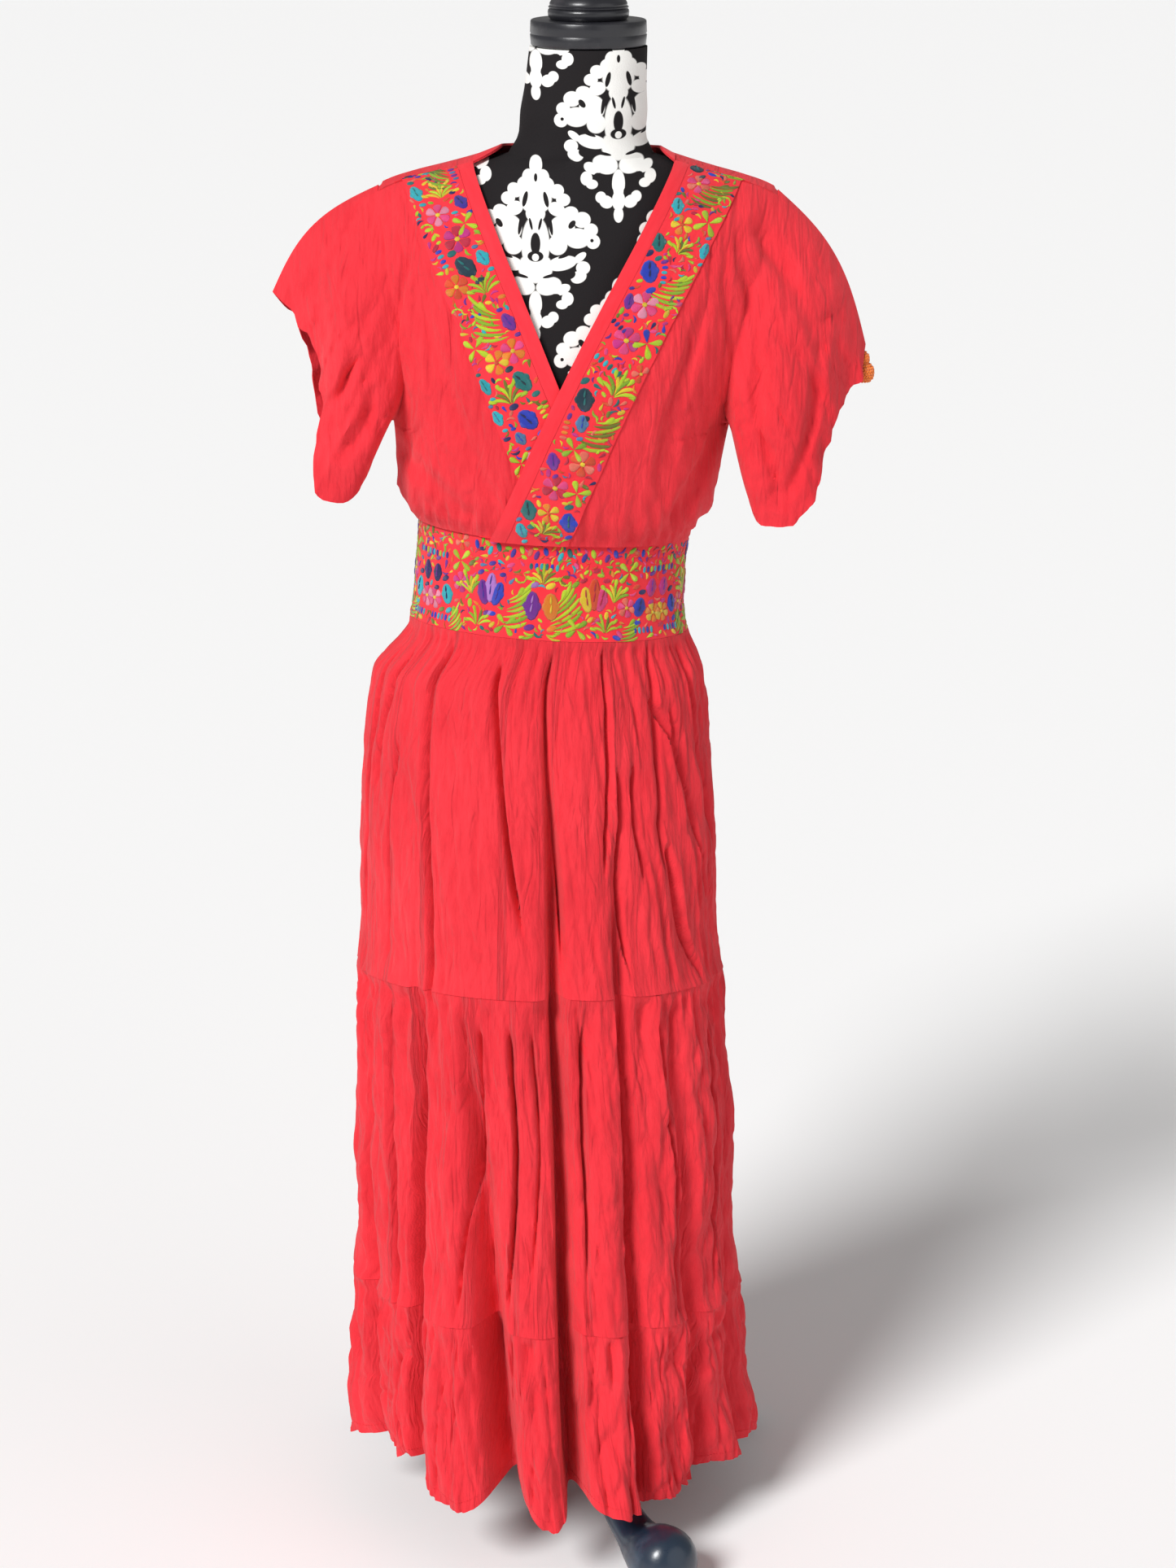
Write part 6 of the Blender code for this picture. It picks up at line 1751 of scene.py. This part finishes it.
def figure_group():
    """One damask figure, mirrored about its middle line."""
    group, given, out = new_group("damask_figure", {}, [("Mask", "NodeSocketFloat")])
    split = node(group, "ShaderNodeSeparateXYZ", {0: given["Vector"]})
    across = calc(group, "ABSOLUTE", split.outputs["X"])

    def oval(after, cx, cy, rx, ry, tip=0):
        """1 inside. after is the value before it in the chain, too small a part of the
        length to matter, which keeps the long tree in one order."""
        here = node(group, "ShaderNodeCombineXYZ", {"X": across, "Y": split.outputs["Y"], "Z": after})
        turned = node(group, "ShaderNodeMapping", {
            "Vector": here.outputs[0], "Location": (cx, cy, 0), "Rotation": (0, 0, math.radians(tip)),
            "Scale": (0.97 * rx, 0.97 * ry, 1000),
        }, vector_type="TEXTURE")
        far = node(group, "ShaderNodeVectorMath", {0: turned.outputs[0]}, operation="LENGTH")
        return remap(group, far.outputs["Value"], (1.05, 0.95), (0, 1))

    def cover(shapes, figure):
        for shape in shapes:
            figure = calc(group, "MAXIMUM", figure, oval(figure, *shape))
        return figure

    white = cover(WHITE_OVALS, calc(group, "MULTIPLY", split.outputs["Z"], 0.0))
    dark = cover(DARK_OVALS, calc(group, "MULTIPLY", white, 0.0))
    cut = calc(group, "MULTIPLY", white, calc(group, "SUBTRACT", 1.0, dark))
    group.links.new(calc(group, "MAXIMUM", cut, oval(dark, *PEARL)), out["Mask"])
    return group


def damask_group():
    group, given, out = new_group("damask_cover", {
        "Ground": (0.012, 0.010, 0.011, 1), "Figure": (0.88, 0.87, 0.84, 1), "Width": 0.150, "Height": 0.208,
    })
    split = node(group, "ShaderNodeSeparateXYZ", {0: given["Vector"]})
    one_figure = figure_group()
    masks = [0.0]
    for shift in (0.0, 0.5):
        place = []
        for (axis, start), size in zip(FIGURE_AT.items(), (given["Width"], given["Height"])):
            share = calc(group, "DIVIDE", calc(group, "SUBTRACT", split.outputs[axis], start), size)
            share = calc(group, "ADD", share, shift)
            left = calc(group, "SUBTRACT", share, calc(group, "ROUND", share))
            place.append(calc(group, "MULTIPLY", calc(group, "MULTIPLY", left, size), 1000.0))
        here = node(group, "ShaderNodeCombineXYZ", {"X": place[0], "Y": place[1], "Z": masks[-1]})
        figure = group.nodes.new("ShaderNodeGroup")
        figure.node_tree = one_figure
        group.links.new(here.outputs[0], figure.inputs["Vector"])
        masks.append(figure.outputs["Mask"])
    figure = calc(group, "MAXIMUM", *masks[1:])
    grain = noise(group, given["Vector"], 900.0)
    soft = calc(group, "MULTIPLY_ADD", noise(group, given["Vector"], 26.0, 3.0), 0.25, 0.86)
    mask = calc(group, "MULTIPLY", figure, soft)
    return put_out(
        group, out, blend(group, mask, given["Ground"], given["Figure"]),
        calc(group, "ADD", grain, calc(group, "MULTIPLY", figure, 0.5)),
        calc(group, "MULTIPLY_ADD", figure, -0.10, 0.88),
    )


form_cover = finish_from(
    "damask_form_cover", damask_group(), {}, "Object", 0.00035, 1.0, {"Specular IOR Level": 0.2},
)
black_paint = finish_from(
    "black_paint", PAINT, {"Colour": (0.012, 0.012, 0.016, 1), "Amount": 0.30}, "Object", 0.0006, 0.5,
    {"Coat Weight": 0.25, "Coat Roughness": 0.25},
)
leg_paint = finish_from(
    "blue_black_paint", PAINT,
    {"Colour": (0.010, 0.022, 0.042, 1), "Rubbed": (0.05, 0.08, 0.12, 1), "Amount": 0.55}, "Object", 0.0006, 0.5,
    {"Coat Weight": 0.35, "Coat Roughness": 0.2},
)
print("finishes:", form_cover.name, black_paint.name, leg_paint.name)


# %% [markdown]
# The torso is a loft of level rings, as a moulded form is. Turned pieces come from a profile,
# as on a lathe, and each leg is a row of ovals along a swept line.


# %% Torso, cap, knob, stand
def loft_piece(name, rings, finish, slot, node_name):
    rings = np.asarray(rings)
    rows, count = rings.shape[:2]
    ids = grid_ids(rows, count)
    faces = quads_of(ids, closed=True, flip=True).tolist()
    faces.append(list(reversed(range(count))))
    faces.append(list(range((rows - 1) * count, rows * count)))
    made = new_mesh_object(name, rings.reshape(-1, 3), faces, finish)
    made.data.set_sharp_from_angle(angle=math.radians(50))
    finish_piece(made, slot, node_name)


def shoulder_reach(z, side):
    low, high = 0.0, float(torso.half_width(z))
    if torso.ridge(side * high) >= z:
        return high
    for _ in range(40):
        middle = (low + high) / 2
        low, high = (middle, high) if torso.ridge(side * middle) >= z else (low, middle)
    return low


NECK_FLARE = 0.008
TURNS = np.arange(96) * 2 * np.pi / 96
heights = np.concatenate([[0.660, 0.668], np.linspace(0.68, 1.325, 60), [1.331, 1.337, 1.343, 1.349, 1.3545]])
rings = []
for z in heights:
    shrink = 0.96 if z == 0.660 else 1.0
    across = np.sin(TURNS)
    half = np.where(across >= 0, shoulder_reach(z, 1), shoulder_reach(z, -1))
    y = np.where(np.cos(TURNS) < 0, torso.y(half * across, z, True), torso.y(half * across, z, False))
    rings.append(np.stack([axis_x(z) + half * across * shrink, y * shrink, np.full(96, z)], -1))
for z in np.concatenate([[1.3590, 1.3635, 1.3680, 1.3730, 1.3790], np.linspace(1.386, 1.4565, 12)]):
    half, ahead, behind = (table_curve(NECK, k)(z) for k in (1, 2, 3))
    half = half + NECK_FLARE * (1 - ramp(z, 1.3545, 1.386)) ** 1.5
    depth = np.where(np.cos(TURNS) > 0, ahead, behind)
    rings.append(np.stack([axis_x(z) + half * np.sin(TURNS), -depth * np.cos(TURNS), np.full(96, z)], -1))
loft_piece("form_body", rings, form_cover, "form_cover", "form_torso")


def turned_piece(name, profile, x, finish, node_name, segments=72, slot="painted_wood"):
    """A piece turned about an upright line at x, from rows of height and radius."""
    turns = np.arange(segments) * 2 * np.pi / segments
    rings = [np.stack([x + r * np.cos(turns), r * np.sin(turns), np.full(segments, z)], -1) for z, r in profile]
    loft_piece(name, rings, finish, slot, node_name)


CAP_Z, CAP_TOP = 1.4570, 1.4805
cap_x = float(axis_x(CAP_Z))
turned_piece("neck_cap_wood", (
    (CAP_Z, 0.0505), (CAP_Z + 0.0006, 0.0518), (CAP_Z + 0.0015, 0.0527), (CAP_Z + 0.0100, 0.0535), (CAP_Z + 0.0108, 0.0529),
    (CAP_Z + 0.0116, 0.0529), (CAP_Z + 0.0124, 0.0535), (CAP_TOP - 0.0015, 0.0531), (CAP_TOP - 0.0005, 0.0525), (CAP_TOP, 0.0515),
), cap_x, black_paint, "neck_cap", 96)
base = CAP_TOP + SEAM
knob = ((0.000, 0.0350), (0.0015, 0.0362), (0.003, 0.0369), (0.0065, 0.0373), (0.0085, 0.0368), (0.0095, 0.0356), (0.0103, 0.0366),
        (0.0112, 0.0367), (0.0122, 0.0352), (0.0130, 0.0356), (0.0142, 0.0356), (0.0165, 0.0344), (0.019, 0.0325), (0.0215, 0.0295),
        (0.024, 0.0255), (0.0262, 0.0205), (0.028, 0.0165), (0.0305, 0.0142), (0.033, 0.0135), (0.0355, 0.0138), (0.038, 0.0150),
        (0.041, 0.0185), (0.044, 0.0225), (0.0480, 0.0252), (0.053, 0.0265), (0.0575, 0.0263), (0.062, 0.0250), (0.067, 0.0223),
        (0.071, 0.0190), (0.075, 0.0145), (0.078, 0.0100), (0.0800, 0.0060), (1.562 - base, 0.0022))
turned_piece("turned_knob", [(base + dz, r) for dz, r in knob], cap_x, black_paint, "finial", 72)
PLATE_Z = 0.660
plate = ((0.0153, 0.056), (0.014, 0.0585), (0.0123, 0.06), (SEAM, 0.06))
plate = [(PLATE_Z - dz, r) for dz, r in plate]
turned_piece("base_disc", plate, -0.030, black_paint, "base_plate")
pole = [(z, 0.015) for z in np.linspace(0.1903, PLATE_Z - 0.0156, 12)]
turned_piece("stand_pole", pole, -0.030, black_paint, "pole", 40)
turned_piece("stand_hub", (
    (0.074, 0.0160), (0.076, 0.0205), (0.080, 0.0240), (0.085, 0.0265), (0.090, 0.0280), (0.150, 0.0280), (0.154, 0.0268), (0.160, 0.0240),
    (0.165, 0.0258), (0.172, 0.0270), (0.178, 0.0260), (0.182, 0.0240), (0.187, 0.0218), (0.190, 0.0195),
), -0.030, black_paint, "hub", 56)
# reach from the pole, height, half width, half height
LEG = (
    (0.0286, 0.1200, 0.0140, 0.0220), (0.0480, 0.1180, 0.0150, 0.0215), (0.0800, 0.1030, 0.0160, 0.0200),
    (0.1150, 0.0750, 0.0165, 0.0185), (0.1500, 0.0500, 0.0175, 0.0175), (0.1800, 0.0350, 0.0200, 0.0180),
    (0.2050, 0.0280, 0.0260, 0.0240), (0.2240, 0.0290, 0.0315, 0.0310), (0.2388, 0.0295, 0.0330, 0.0330),
    (0.2530, 0.0290, 0.0300, 0.0310), (0.2640, 0.0290, 0.0215, 0.0220), (0.2700, 0.0290, 0.0080, 0.0085),
)


def swept_leg(name, bearing, node_name):
    turn = math.radians(bearing)
    along, beside = np.array([math.cos(turn), math.sin(turn), 0]), np.array([-math.sin(turn), math.cos(turn), 0])
    reach = np.concatenate([np.linspace(0.0286, 0.2388, 34), 0.2388 + 0.0312 * np.sin(np.linspace(0, np.pi / 2, 10)[1:])])
    height, half, high = (table_curve(LEG, k)(reach) for k in (1, 2, 3))
    slope = np.arctan(np.gradient(height, reach)) * (1 - ramp(reach, 0.15, 0.20))
    slope[0] = 0
    turns = 2 * np.pi * (np.arange(36) + 0.5) / 36
    rings = []
    for r, z, w, h, a in zip(reach, height, half, high, slope):
        up = along * -math.sin(a) + np.array([0, 0, math.cos(a)])
        centre = np.array([-0.030, 0, z]) + along * r
        ring = centre + beside * (w * np.cos(turns))[:, None] + up * (h * np.sin(turns))[:, None]
        ring[:, 2] = np.maximum(ring[:, 2], 0.0)
        rings.append(ring)
    loft_piece(name, rings, leg_paint, "painted_wood", node_name)


for number, bearing in enumerate((-60.0, 38.0, 135.0), 1):
    swept_leg(f"swept_leg_{number}", bearing, f"leg_{number}")

# %% [markdown]
# ## Crocheted bobble
# A little orange bobble hangs from the tip of the left sleeve. It is crocheted: rows of short
# slanted yarn loops round a small core. The core is turned, and every loop is one plump oval
# that the placing tree sets on it, leaning to one side in one row and to the other in the
# next.

# %% Bobble
def grained_finish(name, scale, detail, dark, light, look):
    """A finish that goes between two colours in a fine grain."""
    made, tree, shader = new_finish(name)
    grain = noise(tree, node(tree, "ShaderNodeTexCoord").outputs["Object"], scale, detail)
    tree.links.new(blend(tree, grain, dark, light), shader.inputs["Base Color"])
    set_inputs(shader, look)
    return made, tree, shader, grain


yarn, tree, shader, twist = grained_finish(
    "bobble_yarn", 1400.0, 3.0, (0.80, 0.13, 0.008, 1), (1.0, 0.30, 0.03, 1),
    {"Roughness": 0.85, "Sheen Weight": 0.35},
)
fuzz = node(tree, "ShaderNodeBump", {"Height": twist, "Distance": 0.0005, "Strength": 0.9})
tree.links.new(fuzz.outputs["Normal"], shader.inputs["Normal"])

tip = sleeve_points(1, "front", ALONG, OUT)[0, -1]
bobble_x, bobble_top = tip[0] - 0.0030, tip[2] - 0.0022
# height from the top, radius
BOBBLE = (
    (-0.0330, 0.0040), (-0.0320, 0.0085), (-0.0285, 0.0112), (-0.0240, 0.0118), (-0.0195, 0.0108),
    (-0.0165, 0.0078), (-0.0150, 0.0066), (-0.0125, 0.0072), (-0.0095, 0.0070), (-0.0065, 0.0050),
    (-0.0045, 0.0026), (-0.0006, 0.0018),
)
YARN_DEEP = 0.0012
LOOP_WIDE, LOOP_TALL = 0.0033, 0.00235
radius_at = table_curve(BOBBLE, 1)
core = [(dz, float(radius_at(dz)) - YARN_DEEP) for dz in np.linspace(-0.0322, -0.0050, 18)]
core += [(-0.0045, 0.0012), (-0.0006, 0.0010)]
core = [(bobble_top + dz, r) for dz, r in core]
turned_piece("bobble_core", core, bobble_x, yarn, "tassel", 32, "orange_yarn")
rows = []
for row, dz in enumerate(np.arange(-0.0318, -0.0052, LOOP_TALL)):
    r = float(radius_at(dz))
    count = max(6, int(round(2 * math.pi * r / LOOP_WIDE)))
    for k in range(count):
        at = 2 * math.pi * (k + 0.5 * (row % 2)) / count
        reach = r - YARN_DEEP
        place = (bobble_x + reach * math.cos(at), reach * math.sin(at), bobble_top + dz)
        turn = (math.pi / 2, math.radians(38 if row % 2 else -38), at + math.pi / 2)
        rows.append((place, turn, (0.0042, 0.0024, 0.0013)))
place_ovals("bobble_loops", yarn, rows, "orange_yarn")

# %% [markdown]
# ## Stitching
# The skirt's hem is sewn with red thread in the cloth's own colour. The row of stitches is a
# closed curve a little above the edge, and the stitches are short ovals that lie along it.


# %% Stitch rows
PITCH = 0.0032
STITCH = (PITCH * 0.72, 0.0006, 0.00035)
stitch_thread = grained_finish(
    "red_stitch_thread", 1500.0, 2.0, (0.60, 0.006, 0.016, 1), (0.80, 0.020, 0.036, 1), {"Roughness": 0.6},
)[0]


def stitch_row(points, normals):
    """Places, turns and sizes of the stitches along a line on the cloth."""
    run = run_along(points)
    found = []
    for s in np.arange(PITCH, run[-1] - PITCH, PITCH):
        p, q = (np.array([np.interp(v, run, points[:, a]) for a in range(3)]) for v in (s - 0.0008, s + 0.0008))
        n = np.array([np.interp(s, run, normals[:, a]) for a in range(3)])
        x = (q - p) / max(np.linalg.norm(q - p), 1e-9)
        y = np.cross(n, x)
        y /= max(np.linalg.norm(y), 1e-9)
        z = np.cross(x, y)
        turn = Matrix((x, y, z)).transposed().to_euler()
        found.append(((p + q) / 2 + z * 0.0001, tuple(turn), STITCH))
    return found


def grid_line(p, row):
    """A closed line of a skirt band's grid, with the cloth's outward normals there."""
    line = p[row]
    ahead = np.roll(line, -1, axis=0) - np.roll(line, 1, axis=0)
    return line, unit(np.cross(p[row + 1] - p[row - 1], ahead))


hem = stitch_row(*grid_line(lowest_band, -3))
place_ovals("hem_stitches", stitch_thread, hem, "red_gauze")
print("stitches:", len(hem))

# %% [markdown]
# ## What the cloth was cut from
# Each sheet says how large it was before it was sewn, and what it hangs from. The widths are
# those of the cloth that shows, and a gathered band is as wide as its own folded line.

# %% Sheets
# piece, width and length of its cut, flat area where the cut isn't a rectangle, how it is
# held, what holds it, pieces sewn on it
CUTS = (
    ("cloth_front_left", 0.36, 0.42, 0.116, "gathered", ["cloth_yoke", "waistband_cloth"], []),
    ("cloth_front_right", 0.34, 0.42, 0.102, "gathered", ["cloth_yoke", "waistband_cloth"], []),
    ("cloth_back", 0.66, 0.42, 0.180, "gathered", ["cloth_yoke", "waistband_cloth"], []),
    ("cloth_yoke", 0.38, 0.16, 0.046, "draped", ["form_body"], []),
    ("neck_binding_left", 0.014, 0.430, None, "folded", ["cloth_front_left"], []),
    ("neck_binding_right", 0.014, 0.430, None, "folded", ["cloth_front_right"], []),
    ("neck_binding_back", 0.018, 0.235, None, "folded", ["cloth_yoke"], []),
    ("band_cloth_left", 0.052, 0.420, None, "laid", ["cloth_front_left"], ["embroidery_left"]),
    ("band_cloth_right", 0.052, 0.410, None, "laid", ["cloth_front_right"], ["embroidery_right"]),
    ("waistband_cloth", 0.706, 0.096, None, "stretched", ["form_body"], ["embroidery_waist"]),
    ("skirt_upper_cloth", 1.240, 0.360, None, "gathered", ["waistband_cloth"], []),
    ("skirt_middle_cloth", 1.740, 0.340, None, "gathered", ["skirt_upper_cloth"], []),
    ("skirt_lower_cloth", 2.000, 0.170, None, "gathered", ["skirt_middle_cloth"], ["hem_stitches"]),
)
for name, width, length, area, held, rests_on, sewn_on in CUTS:
    piece = bpy.data.objects[name]
    shows = sum(p.area for p in piece.data.polygons) / 2
    print(name, "cut", round(area or width * length, 4), "m2, one side now", round(shows, 4), "m2")
